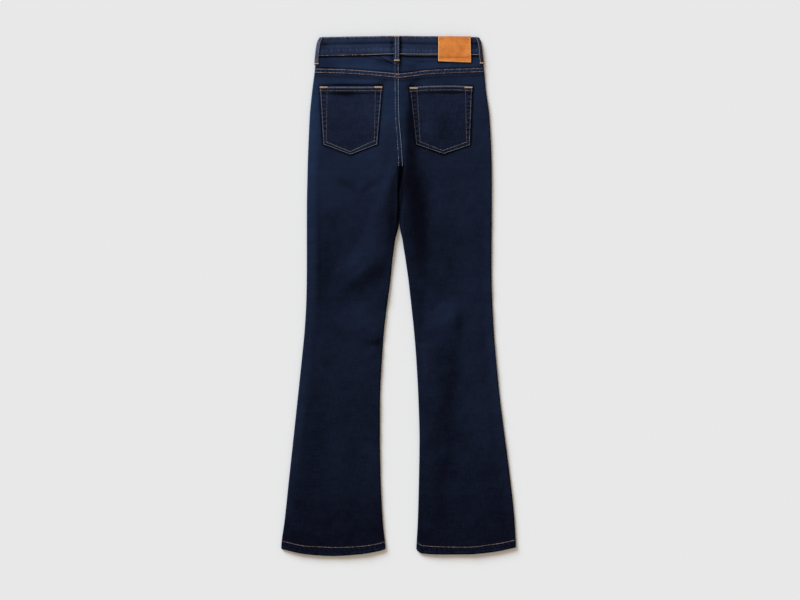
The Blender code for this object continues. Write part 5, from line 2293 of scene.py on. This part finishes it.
@dataclass
class BeltLoops:
    """The five belt loops."""

    form: Form
    width: float = 0.0111
    top: float = 0.5335
    bottom: float = 0.4814
    side_bottoms: tuple[float, float] = (0.4752, 0.4764)
    cloth: float = 0.0016
    arch: float = 0.0006
    front_x: float = 0.092
    side_flat: float = 0.0022
    side_drop: float = 0.0015
    side_under: float = radians(18)
    flat_facets: int = 5
    turn_facets: int = 13
    rib_half: float = 0.0022
    rib_wear: float = 0.25
    edge_round: float = 0.0009
    pitch: float = 0.001
    rim: tuple[float, ...] = (0.0003, 0.0007)

    def heights(self, bottom: float, top: float) -> Array:
        """The rows of a loop."""
        return mix(bottom, top, crowded(top - bottom, self.pitch, self.rim))

    def finish(self, shell: Shell, side_away: Array, end_away: Array, worn: Numbers) -> Shell:
        """Rounds a loop's edges and marks its tone: wear, and on the side loops painted sheen,
        shade and highlights.

        Args:
            shell: The loop's shell.
            side_away: Distance from the nearer long edge.
            end_away: Distance from the nearer end.
            worn: How light the loop's tone is.

        Returns:
            The shell.
        """
        shell.marks["seam_away"] = shell.marks["away"] = side_away
        rib = self.rib_wear * bell(side_away - self.width / 2, self.rib_half)
        shell.marks["fade"] = TONE_AND_SIDE_HIGHLIGHT.at("fade", shell.outer[..., 1]) + rib + worn
        shell.soften(np.minimum(side_away, end_away), self.edge_round)
        return shell

    def flat_shell(self, centre: float, surface: Height, face: Face) -> Shell:
        """A loop that lies flat.

        Args:
            centre: X of its middle.
            surface: The height of what it lies on.
            face: The way it looks.

        Returns:
            The shell.
        """
        across = crowded(self.width, self.pitch, self.rim)
        heights = self.heights(self.bottom, self.top)
        x, y = np.meshgrid(centre + self.width * (across - 0.5), heights)
        base = surface(x, y) + face.value * self.form.laid_gap
        side = self.width * np.minimum(across, 1 - across)[None] + np.zeros_like(x)
        shell = slab(x, y, base + face.value * self.cloth, base)
        return self.finish(shell, side, np.minimum(self.top - y, y - self.bottom), 0.25)

    def over_back(self, x: Numbers, y: Numbers) -> Array:
        """What the centre loop lies on, arched a little over the waistband.

        Args:
            x: Places across.
            y: Places along.

        Returns:
            The height.
        """
        bottom, top = self.form.band_station, self.form.band_top_station
        arched = plateau(y - (bottom + top) / 2, 0.0, (top - bottom) / 2)
        return self.form.upper(x, y) + self.arch * arched

    def side_shell(self, side: Side) -> Shell:
        """A loop that turns round the side.

        Args:
            side: The side.

        Returns:
            The shell.
        """
        form, sign = self.form, side.value
        rows_outer, rows_inner = [], []
        flat = np.linspace(1.0, 0.0, self.flat_facets + 1)[:-1]
        angle = np.linspace(pi / 2, -self.side_under, self.turn_facets + 1)
        bottom = self.side_bottoms[0 if side is Side.LEFT else 1]
        for y in self.heights(bottom, self.top - self.side_drop):
            edge_x = float(form.outer_edge(sign, y))
            below = float(form.band_seam(edge_x)) - form.over_seam - y
            on_yoke = float(smooth(below / form.band_step))
            turn = float(mix(form.band_turn, form.panel_turn, on_yoke))
            centre_x = edge_x - sign * turn
            low = mix(form.mound_height(centre_x, y), form.front_low(centre_x, y), on_yoke)
            high = form.upper(centre_x, y)
            middle, height = float(low + high) / 2, float(high - low) / 2
            flat_x = centre_x - sign * self.side_flat * flat
            flat_z = form.upper(flat_x, np.full_like(flat_x, y))
            for rows, cloth in ((rows_outer, self.cloth), (rows_inner, 0.0)):
                gap = form.laid_gap + cloth
                turn_x = centre_x + sign * (turn + gap) * np.cos(angle)
                turn_z = middle + (height + gap) * np.sin(angle)
                x, z = np.concatenate([flat_x, turn_x]), np.concatenate([flat_z + gap, turn_z])
                rows.append(points_of(x, y, z))
        shell = Shell(np.stack(rows_outer), np.stack(rows_inner))
        run = shell.runs()
        y = shell.outer[..., 1]
        ends = np.minimum(self.top - self.side_drop - y, y - bottom)
        # Painted sheen over the left loop and the right loop's inner strip, painted shade where the
        # right loop turns under, and a painted highlight near each loop's top.
        if side is Side.LEFT:
            corner_highlight = bell(y - 0.5255, 0.0026) * bell(run, 0.003)
            worn = 0.75 - 0.9 * bell(y - 0.4915, 0.0034) + 0.9 * corner_highlight
        else:
            worn = 0.05 - 1.5 * smooth((run - 0.0026) / 0.0014) + 0.9 * bell(y - 0.529, 0.0036)
        return self.finish(shell, np.minimum(run, run[:, -1:] - run), ends, worn)

    def build(self, wardrobe: Wardrobe) -> list[Cloth]:
        """Makes and places the loops.

        Args:
            wardrobe: The finishes.

        Returns:
            The loops.
        """
        centre = float(self.form.middle(self.form.band_station))
        made = {"centre_back": self.flat_shell(centre, self.over_back, Face.UPPER)}
        for side in Side:
            made[f"side_{side.label}"] = self.side_shell(side)
            front = self.flat_shell(side.value * self.front_x, self.form.front_low, Face.UNDER)
            made[f"front_{side.label}"] = front
        loops = []
        for label, shell in made.items():
            names = f"loop_{label}_denim", f"belt_loop_{label}"
            loops.append(Cloth(*names, Slot.BAND, wardrobe.band, shell, ("waistband_strip",)))
        return loops


@dataclass
class Fly:
    """The fly's lap on the left front, and the button above it."""

    form: Form
    width: float = 0.036
    bottom: float = 0.352
    curve: float = 0.036
    lap: float = 0.0006
    cloth: float = 0.001
    rim: tuple[float, ...] = RIM
    button_radius: float = 0.0085
    button_height: float = 0.0028
    button_y: float = 0.5155
    button_sides: int = 48

    def reach(self, y: Array) -> Array:
        """How far the lap reaches from the centre at a height."""
        below = np.clip((self.bottom + self.curve - y) / self.curve, 0.0, 1.0)
        return self.width * np.sqrt(np.maximum(1.0 - below**2, 0.0004))

    def shell(self) -> Shell:
        """The lap's shell, lying under the front layer.

        Returns:
            The shell.
        """
        form = self.form
        centre = float(form.middle(form.band_station))
        top = float(form.band_seam(centre)) - form.over_seam
        y = mix(self.bottom, top, crowded(top - self.bottom, 0.0025, self.rim))[:, None]
        across = crowded(self.width, 0.0015, self.rim)[None]
        x = form.middle(y) + self.lap - self.reach(y) * across
        y = y + np.zeros_like(x)
        base = form.front_low(x, y) - form.laid_gap
        shell = slab(x, y, base - self.cloth, base)
        shell.marks["seam_away"] = self.reach(y) * (1 - across)
        shell.marks["fade"] = form.fade(x, y, 1.0)
        shell.soften(shell.marks["seam_away"], 0.0008)
        return shell

    def button_mesh(self) -> bpy.types.Mesh:
        """The button, turned on a lathe, its face down.

        Returns:
            The mesh.
        """
        radius, height, count = self.button_radius, self.button_height, self.button_sides
        profile = (
            (0.34 * radius, 0.0003), (0.66 * radius, 0.0004), (0.72 * radius, 0.00015),
            (0.8 * radius, 0.0), (0.93 * radius, 0.0002), (radius, 0.0009),
            (radius, height - 0.0008), (0.92 * radius, height - 0.0001), (0.45 * radius, height),
        )
        centre = np.array([float(self.form.middle(self.button_y)), self.button_y, 0.0])
        turns = 2 * pi * np.arange(count) / count
        rings = [points_of(r * np.cos(turns), r * np.sin(turns), z) for r, z in profile]
        face, back = points_of(0.0, 0.0, 0.00045)[None], points_of(0.0, 0.0, height)[None]
        points = centre + np.concatenate([face, *rings, back])
        last, faces = len(points) - 1, []
        for k in range(count):
            after = (k + 1) % count
            faces.append((0, 1 + after, 1 + k))
            for low in range(1, last - count, count):
                faces.append((low + k, low + after, low + count + after, low + count + k))
            faces.append((last - count + k, last - count + after, last))
        mesh = bpy.data.meshes.new("waist_button_metal")
        mesh.from_pydata(points.tolist(), [], faces)
        mesh.shade_smooth()
        mesh.set_sharp_from_angle(angle=radians(50))
        return mesh

    def build(self, wardrobe: Wardrobe) -> list[Cloth]:
        """Makes and places the lap and the button.

        Args:
            wardrobe: The finishes.

        Returns:
            The lap.
        """
        names, below = ("fly_lap_denim", "fly_lap"), ("front_leg_left_denim",)
        cloth = Cloth(*names, Slot.DENIM, wardrobe.denim, self.shell(), below)
        button = "waist_button_metal", self.button_mesh(), wardrobe.metal
        place_for("waist_button", Slot.METAL, *button)
        return [cloth]


# Sewing.


@dataclass(frozen=True)
class Thread:
    """How one kind of stitching is laid."""

    pitch: float
    long: float
    wide: float
    high: float
    wander: float = 0.06
    uneven: float = 0.12
    seed: int = 3


TOPSTITCH = Thread(0.0031, 0.0014, 0.00046, 0.00036)
HEM_STITCH = Thread(0.0034, 0.0015, 0.00052, 0.00042, uneven=0.25, seed=11)
YOKE_STITCH = Thread(0.0031, 0.0014, 0.00056, 0.0004)
TACK = Thread(0.00055, 0.00036, 0.0017, 0.0005, 0.16, 0.08, 5)
LOOP_STITCH = Thread(0.0031, 0.0017, 0.00066, 0.00044)
LOOP_TACK = Thread(0.00055, 0.00036, 0.0014, 0.0005, 0.16, 0.08, 6)
LOOP_TONES = {"centre": 0.25, "side": 0.4, "front": -0.2}
LOOP_END = Thread(0.00055, 0.00036, 0.0006, 0.00036, 0.16, 0.08, 8)


class StitchTree:
    """The Geometry Nodes tree that lays stitches end to end along lines."""

    INPUTS = {
        "Stitch Length": 0.0031,
        "Thread Long": 0.0013,
        "Thread Wide": 0.00045,
        "Thread High": 0.00035,
        "Turn Wander": 0.06,
        "Size Wander": 0.12,
        "Seed": 3,
    }

    def __init__(self) -> None:
        """Builds the tree."""
        self.tree = bpy.data.node_groups.new("stitch_run", "GeometryNodeTree")
        face = self.tree.interface
        face.new_socket(name="Geometry", in_out="INPUT", socket_type="NodeSocketGeometry")
        for label, default in self.INPUTS.items():
            kind = "NodeSocketInt" if isinstance(default, int) else "NodeSocketFloat"
            socket = face.new_socket(name=label, in_out="INPUT", socket_type=kind)
            socket.default_value = default
        face.new_socket(name="Thread", in_out="INPUT", socket_type="NodeSocketMaterial")
        face.new_socket(name="Geometry", in_out="OUTPUT", socket_type="NodeSocketGeometry")
        self._build()

    @staticmethod
    def _random(g: Graph, seed: Socket, low: object, high: object, shift: int) -> Socket:
        """A random value for each stitch, from a seed and a shift of it.

        Args:
            g: The tree's graph.
            seed: The seed.
            low: The least value.
            high: The largest value.
            shift: How far the seed is shifted.

        Returns:
            The value.
        """
        shifted = g.node("FunctionNodeIntegerMath", {0: seed, 1: shift}, operation="ADD").outputs[0]
        inputs = {2: low, 3: high, "Seed": shifted}
        return g.node("FunctionNodeRandomValue", inputs, data_type="FLOAT").outputs[1]

    def _build(self) -> None:
        """Adds the nodes."""
        g = Graph(self.tree)
        given = g.node("NodeGroupInput").outputs
        seed, wander, uneven = given["Seed"], given["Turn Wander"], given["Size Wander"]

        def named(name: str, kind: str) -> Socket:
            """An attribute of the guide line."""
            made = g.node("GeometryNodeInputNamedAttribute", {"Name": name}, data_type=kind)
            return made.outputs["Attribute"]

        curve = g.node("GeometryNodeMeshToCurve", {0: given["Geometry"]}).outputs[0]
        inputs = {"Curve": curve, "Length": given["Stitch Length"]}
        points = g.node("GeometryNodeResampleCurve", inputs, mode="LENGTH").outputs[0]
        tangent = g.node("GeometryNodeInputTangent").outputs[0]
        inputs, settings = {0: named("up", "FLOAT_VECTOR"), 1: tangent}, {"secondary_axis": "X"}
        axes = g.node("FunctionNodeAxesToRotation", inputs, primary_axis="Z", **settings)
        angle = self._random(g, seed, g.times(wander, -1.0), wander, 1)
        inputs = {"Axis": (0.0, 0.0, 1.0), "Angle": angle}
        spin = g.node("FunctionNodeAxisAngleToRotation", inputs).outputs[0]
        inputs = {0: axes.outputs[0], 1: spin}
        turned_by = g.node("FunctionNodeRotateRotation", inputs, rotation_space="LOCAL").outputs[0]
        size = self._random(g, seed, g.minus(1.0, uneven), g.math("ADD", 1.0, uneven), 2)
        long = g.times(given["Thread Long"], size)
        inputs = {0: long, 1: given["Thread Wide"], 2: given["Thread High"]}
        scale = g.node("ShaderNodeCombineXYZ", inputs).outputs[0]
        ball = g.node("GeometryNodeMeshUVSphere", {"Segments": 8, "Rings": 5, "Radius": 1.0})
        inputs = {"Geometry": ball.outputs[0], "Rotation": (0.0, pi / 2, 0.0)}
        lying = g.node("GeometryNodeTransform", inputs).outputs[0]
        inputs = {"Points": points, "Instance": lying, "Rotation": turned_by, "Scale": scale}
        laid = g.node("GeometryNodeInstanceOnPoints", inputs).outputs[0]
        tone = g.math("ADD", self._random(g, seed, 0.35, 1.15, 5), named("tone", "FLOAT"))
        inputs = {"Geometry": laid, "Name": "thread_tone", "Value": tone}
        settings = {"data_type": "FLOAT", "domain": "INSTANCE"}
        toned = g.node("GeometryNodeStoreNamedAttribute", inputs, **settings).outputs[0]
        real = g.node("GeometryNodeRealizeInstances", {0: toned}).outputs[0]
        shaded = g.node("GeometryNodeSetShadeSmooth", {0: real}).outputs[0]
        dyed = g.node("GeometryNodeSetMaterial", {0: shaded, "Material": given["Thread"]})
        g.node("NodeGroupOutput", {0: dyed.outputs[0]})

    def use(self, carrier: bpy.types.Object, thread: Thread, material: Material) -> None:
        """Lays stitches on an object's lines.

        Args:
            carrier: The object.
            thread: How the stitches are laid.
            material: The thread's material.
        """
        modifier = carrier.modifiers.new("stitches", "NODES")
        modifier.node_group = self.tree
        values = dict(zip(self.INPUTS, astuple(thread))) | {"Thread": material}
        for item in self.tree.interface.items_tree:
            if item.in_out == "INPUT" and item.name in values:
                modifier[item.identifier] = values[item.name]


@dataclass
class Sewing:
    """All rows of stitches and bar tacks."""

    form: Form
    wardrobe: Wardrobe
    tree: StitchTree = field(default_factory=StitchTree)
    lift: float = 0.00012
    step: float = 0.0012
    front_rows: tuple[float, float] = (0.0022, 0.0085)
    coarse: float = 0.004
    hem_twin: float = 0.0007
    tack_down: float = 0.0026
    tack_ends: tuple[float, float] = (0.0018, 0.0165)

    def run(
        self,
        name: str,
        lines: Sequence[Line],
        thread: Thread,
        finish: str,
        tones: Sequence[Numbers] = (),
    ) -> None:
        """Sews along lines and puts the thread in the scene.

        Args:
            name: The piece's name.
            lines: Points and normals of each line.
            thread: How the stitches are laid.
            finish: The name of the thread's finish.
            tones: How far each line leans to pale thread, or to dull thread below 0.
        """
        points = np.concatenate([line[0] + self.lift * line[1] for line in lines])
        normals = np.concatenate([line[1] for line in lines])
        edges, first = [], 0
        for line in lines:
            last = first + len(line[0])
            edges += zip(range(first, last - 1), range(first + 1, last))
            first = last
        guide = bpy.data.meshes.new(name + "_guide")
        guide.from_pydata(points.tolist(), edges, [])
        tones = tones or [0.0] * len(lines)
        leans = [np.broadcast_to(tone, len(line[0])) for tone, line in zip(tones, lines)]
        up, tone = (normals, "FLOAT_VECTOR", "vector"), (np.concatenate(leans), "FLOAT", "value")
        for label, (values, kind, key) in {"up": up, "tone": tone}.items():
            mark = guide.attributes.new(label, kind, "POINT")
            mark.data.foreach_set(key, values.astype(np.float32).ravel())
        carrier = bpy.data.objects.new(name + "_guide", guide)
        bpy.context.scene.collection.objects.link(carrier)
        material = self.wardrobe.threads[finish]
        self.tree.use(carrier, thread, material)
        graph = bpy.context.evaluated_depsgraph_get()
        graph.update()
        mesh = bpy.data.meshes.new_from_object(carrier.evaluated_get(graph))
        mesh.name = name
        points = np.empty(3 * len(mesh.vertices), np.float32)
        mesh.vertices.foreach_get("co", points)
        points[2::3] = np.maximum(points[2::3], 0.0)
        mesh.vertices.foreach_set("co", points)
        mesh.update()
        carrier.modifiers.clear()
        bpy.data.objects.remove(carrier)
        bpy.data.meshes.remove(guide)
        place_piece(name, mesh, material)

    def on(self, surface: Height, corners: Places, face: Face = Face.UPPER) -> Line:
        """A line on a surface through places.

        Args:
            surface: The height of the surface.
            corners: The places that the line turns at.
            face: The side of the surface that is sewn.

        Returns:
            The line's points and normals.
        """
        places = []
        for start, end in zip(corners, corners[1:]):
            run = float(np.hypot(end[0] - start[0], end[1] - start[1]))
            share = np.linspace(0.0, 1.0, max(2, round(run / self.step)))
            places.append(mix(np.array(start), np.array(end), share[:, None])[:-1])
        x, y = np.concatenate([*places, [corners[-1]]]).T
        reach = 0.0004
        slope_x = (surface(x + reach, y) - surface(x - reach, y)) / (2 * reach)
        slope_y = (surface(x, y + reach) - surface(x, y - reach)) / (2 * reach)
        normal = points_of(-slope_x, -slope_y, 1.0) * face.value
        normal /= np.linalg.norm(normal, axis=1, keepdims=True)
        return points_of(x, y, surface(x, y)), normal

    def seat_seam(self, cloths: dict[str, Cloth]) -> None:
        """The double row down the centre back, through leg and yoke.

        Args:
            cloths: The cloth pieces by name.
        """
        form = self.form
        names = [f"{part}_{side.label}_denim" for part in ("back_leg", "yoke") for side in Side]
        seat = Surface([cloths[name].shell for name in names])
        rows = ((262, -5, 2.8), (285, -4.1, 2.8), (380, -3.9, 2.5), (500, -3.6, 3))
        spread = SmoothTable("y left right", rows, MM)
        y = np.arange(form.crotch_y + 0.0034, float(form.band_seam(0.0)) - 0.0015, self.coarse)
        lines, tones = [], []
        for label, tone, less in (("left", -0.05, 0.1), ("right", 0.45, 0.45)):
            lines.append(self.on(seat, np.column_stack([form.middle(y) + spread.at(label, y), y])))
            tones.append(tone - less * smooth((lines[-1][0][:, 1] - 0.42) / 0.03))
        self.run("seat_seam_thread", lines, YOKE_STITCH, "seat_thread", tones)

    def hems(self, cloths: dict[str, Cloth]) -> None:
        """The row round each hem.

        Args:
            cloths: The cloth pieces by name.
        """
        for label in (side.label for side in Side):
            shells = [cloths[f"{layer}_leg_{label}_denim"].shell for layer in ("back", "front")]
            lines = [shell.level("row_away", 0.0, 2, -2) for shell in shells]
            self.run(f"hem_thread_{label}", lines, HEM_STITCH, "hem_thread")

    def yokes(self, cloths: dict[str, Cloth], yokes: Sequence[Yoke]) -> None:
        """The double row along each half of the yoke.

        Args:
            cloths: The cloth pieces by name.
            yokes: The yoke's halves.
        """
        for yoke in yokes:
            shell = cloths[f"yoke_{yoke.side.label}_denim"].shell
            lines = [shell.level("away", away, 0, -3) for away in yoke.rows_at]
            low, high = (line[0][:, 0] for line in lines)
            tones = (
                0.02 - 0.22 * smooth((low - 0.05) / 0.05),
                0.3 + 0.5 * bell(high + 0.045, 0.035) - 0.42 * smooth((high - 0.04) / 0.05),
            )
            self.run(f"yoke_thread_{yoke.side.label}", lines, YOKE_STITCH, "seam_thread", tones)

    def waistband(self, cloth: Cloth, band: Waistband) -> None:
        """The rows along the waistband's seam and top edge, all the way round.

        Args:
            cloth: The waistband's cloth.
            band: The waistband.
        """
        rows = ("row_away", 0.0), ("top_away", -band.top_row)
        lines = [cloth.shell.level(*row) for row in rows]
        tones = (0.5 * smooth((lines[0][0][:, 0] + 0.085) / 0.04) - 0.05, 0.0)
        self.run("waistband_thread", lines, YOKE_STITCH, "seam_thread", tones)

    def pocket(self, cloth: Cloth, pocket: BackPocket) -> None:
        """A pocket's rows and the tacks at its top corners.

        Args:
            cloth: The pocket's cloth.
            pocket: The pocket.
        """
        surface = Surface([cloth.shell])
        top_left, top_right, right, tip, left = pocket.outline
        inset, down, low_inset, low_up, tip_up = 0.0027, 0.004, 0.0021, 0.0004, 0.0012
        corners = (
            (top_left[0] + inset, top_left[1] - down),
            (left[0] + low_inset, left[1] + low_up),
            (tip[0], tip[1] + tip_up),
            (right[0] - low_inset, right[1] + low_up),
            (top_right[0] - inset, top_right[1] - down),
        )
        lines, tones = [], []
        for row, row_tones in zip((corners, pocket.inner_rows), pocket.row_tones):
            down_left, low_left, low_right, down_right = row_tones
            lines += [self.on(surface, part) for part in (row[:2], row[1:4], row[3:])]
            low = np.where(lines[-2][0][:, 0] < tip[0], low_left, low_right)
            tones += [down_left, low, down_right]
        first, second = pocket.hem_rows
        twin = self.hem_twin
        for down, tone in ((first - twin, 0.35), (first + twin, 0.25), (second, 0.0)):
            lines.append(cloth.shell.level("top_away", -down, 2, -2))
            tones.append(tone)
        label = pocket.side.label
        self.run(f"pocket_thread_{label}", lines, TOPSTITCH, "pocket_thread", tones)
        tacks = []
        for (x, y), way in ((top_left, 1.0), (top_right, -1.0)):
            ends = [(x + way * reach, y - self.tack_down) for reach in self.tack_ends]
            tacks.append(self.on(surface, ends))
        self.run(f"pocket_tacks_{label}", tacks, TACK, "tack_thread")

    def loops(self, cloths: Sequence[Cloth]) -> None:
        """The rows and tacks of the belt loops.

        Args:
            cloths: The loops' cloths.
        """
        rows, tones, tacks, ends = [], [], [], []
        for cloth in cloths:
            outer, normals = cloth.shell.outer, cloth.shell.normals()
            side = cloth.shell.marks["away"]
            at_side = "side" in cloth.name
            fall = 400.0 if "right" in cloth.name else 80.0
            for inset in (0.0014, 0.0042) if at_side else (0.0018,):
                first, last = int(np.argmax(side[0] > inset)), int(np.argmax(side[0][::-1] > inset))
                for column in (first, -1 - last):
                    rows.append((outer[4:-4, column], normals[4:-4, column]))
                    tones.append(LOOP_TONES[cloth.name.split("_")[1]] - fall * (inset - 0.0014))
            tacks.append((outer[4, 1:-1], normals[4, 1:-1]))
            if not at_side:
                ends.append((outer[-3, 1:-1], normals[-3, 1:-1]))
        self.run("belt_loop_thread", rows, LOOP_STITCH, "loop_thread", tones)
        self.run("belt_loop_tacks", tacks, LOOP_TACK, "tack_thread")
        self.run("belt_loop_ends", ends, LOOP_END, "tack_thread")

    def front(self, legs: Sequence[Leg], fly: Fly, cloths: dict[str, Cloth]) -> None:
        """The plain rows on the hidden front: pocket openings, fly and centre seam.

        Args:
            legs: The legs.
            fly: The fly.
            cloths: The cloth pieces by name.
        """
        form = self.form
        angle = np.linspace(0.12, pi / 2, 40)
        for leg in legs:
            sign, lines = leg.side.value, []
            for inset in self.front_rows:
                y = leg.scoop_bottom + leg.scoop_depth * (1.0 - np.cos(angle))
                y = y - inset * np.cos(angle)
                reach = leg.scoop_width * np.sin(angle) + inset * np.sin(angle)
                x = form.outer_edge(sign, y) - sign * reach
                y = np.minimum(y, form.band_seam(x) - 0.001)
                lines.append(self.on(form.front_low, np.column_stack([x, y]), Face.UNDER))
            if leg.side is Side.LEFT:
                panel = Surface([cloths["front_leg_left_denim"].shell], Face.UNDER)
                lines += self._fly_lines(fly, panel)
            self.run(f"front_thread_{leg.side.label}", lines, TOPSTITCH, "seam_thread")

    def _fly_lines(self, fly: Fly, panel: Surface) -> list[Line]:
        """The curved double row of the fly, and the seam below it on the panel.

        Args:
            fly: The fly.
            panel: The left front panel's underside.

        Returns:
            The lines.
        """
        form = self.form

        def under_lap(x: Numbers, y: Numbers) -> Array:
            """The underside of the lap."""
            return form.front_low(x, y) - form.laid_gap - fly.cloth

        lines = []
        top, centre_y = float(form.band_seam(0.0)) - 0.003, fly.bottom + fly.curve
        angle = np.linspace(0.05, pi / 2, 30)
        for inset in self.front_rows:
            drop, reach = fly.curve - inset, fly.width - inset
            straight = np.arange(centre_y + self.coarse, top, self.coarse)
            y = np.concatenate([centre_y - drop * np.cos(angle), straight])
            wide = np.concatenate([reach * np.sin(angle), np.full(len(y) - len(angle), reach)])
            x = form.middle(y) + fly.lap - wide
            lines.append(self.on(under_lap, np.column_stack([x, y]), Face.UNDER))
        y = np.arange(0.252, fly.bottom - 0.002, self.coarse)
        for shift in (-0.003, -0.0092):
            lines.append(self.on(panel, np.column_stack([form.middle(y) + shift, y]), Face.UNDER))
        return lines


# The studio.


@dataclass(frozen=True)
class Studio:
    """A plain pale floor, soft light from the upper left and a camera straight above."""

    floor_size: float = 8.0
    floor_colour: float = 0.8
    key_strength: float = 3.978
    key_colour: Colour = (0.86, 1.0, 1.15)
    key_angle: float = radians(30)
    key_elevation: float = radians(26)
    key_azimuth: float = radians(125)
    fill: float = 0.454
    fill_colour: Colour = (1.171, 1.0, 0.817)
    lens: float = 85.0
    sensor: float = 36.0
    frame_width: float = 1.648
    look_at: tuple[float, float] = (0.0026, -0.0082)

    def floor(self) -> None:
        """The floor, which is not part of the object."""
        half = self.floor_size / 2
        corners = [(-half, -half, 0.0), (half, -half, 0.0), (half, half, 0.0), (-half, half, 0.0)]
        mesh = bpy.data.meshes.new("floor")
        mesh.from_pydata(corners, [], [(0, 1, 2, 3)])
        material, g, shader = new_material("pale_floor")
        pale, paler = ((self.floor_colour * share,) * 3 for share in (1.0, 1.004))
        colour = g.blend(g.noise(g.place(), 6.0, 2.0), pale, paler)
        g.feed(shader, {"Base Color": colour, "Roughness": 0.9, "Specular IOR Level": 0.0})
        mesh.materials.append(material)
        floor = bpy.data.objects.new("floor", mesh)
        bpy.context.scene.collection.objects.link(floor)

    def lights(self) -> None:
        """The broad key light and the even light from all round."""
        key = bpy.data.lights.new("key", "SUN")
        key.energy, key.color, key.angle = self.key_strength, self.key_colour, self.key_angle
        lamp = bpy.data.objects.new("key", key)
        flat, turn = cos(self.key_elevation), self.key_azimuth
        towards = Vector((flat * cos(turn), flat * sin(turn), sin(self.key_elevation)))
        lamp.rotation_euler = towards.to_track_quat("Z", "Y").to_euler()
        lamp.location = towards * 3.0
        bpy.context.scene.collection.objects.link(lamp)
        world = bpy.context.scene.world or bpy.data.worlds.new("studio")
        bpy.context.scene.world = world
        world.use_nodes = True
        inputs = {"Color": (*self.fill_colour, 1.0), "Strength": self.fill}
        Graph(world.node_tree).feed(world.node_tree.nodes["Background"], inputs)

    def camera(self) -> None:
        """The camera, straight above, with the waist towards the top of the frame."""
        data = bpy.data.cameras.new("camera")
        data.lens, data.sensor_width, data.sensor_fit = self.lens, self.sensor, "HORIZONTAL"
        data.clip_end = 50.0
        camera = bpy.data.objects.new("camera", data)
        camera.location = (*self.look_at, self.lens / self.sensor * self.frame_width)
        bpy.context.scene.collection.objects.link(camera)
        bpy.context.scene.camera = camera

    def build(self) -> None:
        """Builds the studio."""
        self.floor()
        self.lights()
        self.camera()
        bpy.context.scene.view_settings.view_transform = "Standard"


def main() -> None:
    """Builds the garment and the studio in order."""
    logging.basicConfig(level=logging.INFO, format="%(name)s %(message)s")
    form, wardrobe = Form(), Wardrobe()
    Studio().build()
    legs = [Leg(form, side) for side in Side]
    yokes = [Yoke(form, side) for side in Side]
    pockets = [BackPocket(form=form, **row) for row in POCKETS]
    band, loops, fly = Waistband(form), BeltLoops(form), Fly(form)
    cloths: dict[str, Cloth] = {}
    for part in (*legs, *yokes, *pockets, band, loops, fly):
        cloths.update({cloth.name: cloth for cloth in part.build(wardrobe)})
    Patch(form).build(wardrobe)
    sewing = Sewing(form, wardrobe)
    sewing.seat_seam(cloths)
    sewing.hems(cloths)
    sewing.yokes(cloths, yokes)
    sewing.waistband(cloths["waistband_strip"], band)
    for pocket in pockets:
        sewing.pocket(cloths[f"back_pocket_{pocket.side.label}_denim"], pocket)
    sewing.loops([cloth for name, cloth in cloths.items() if name.startswith("loop_")])
    sewing.front(legs, fly, cloths)
    for cloth in cloths.values():
        cloth.declare()


if __name__ == "__main__":
    main()
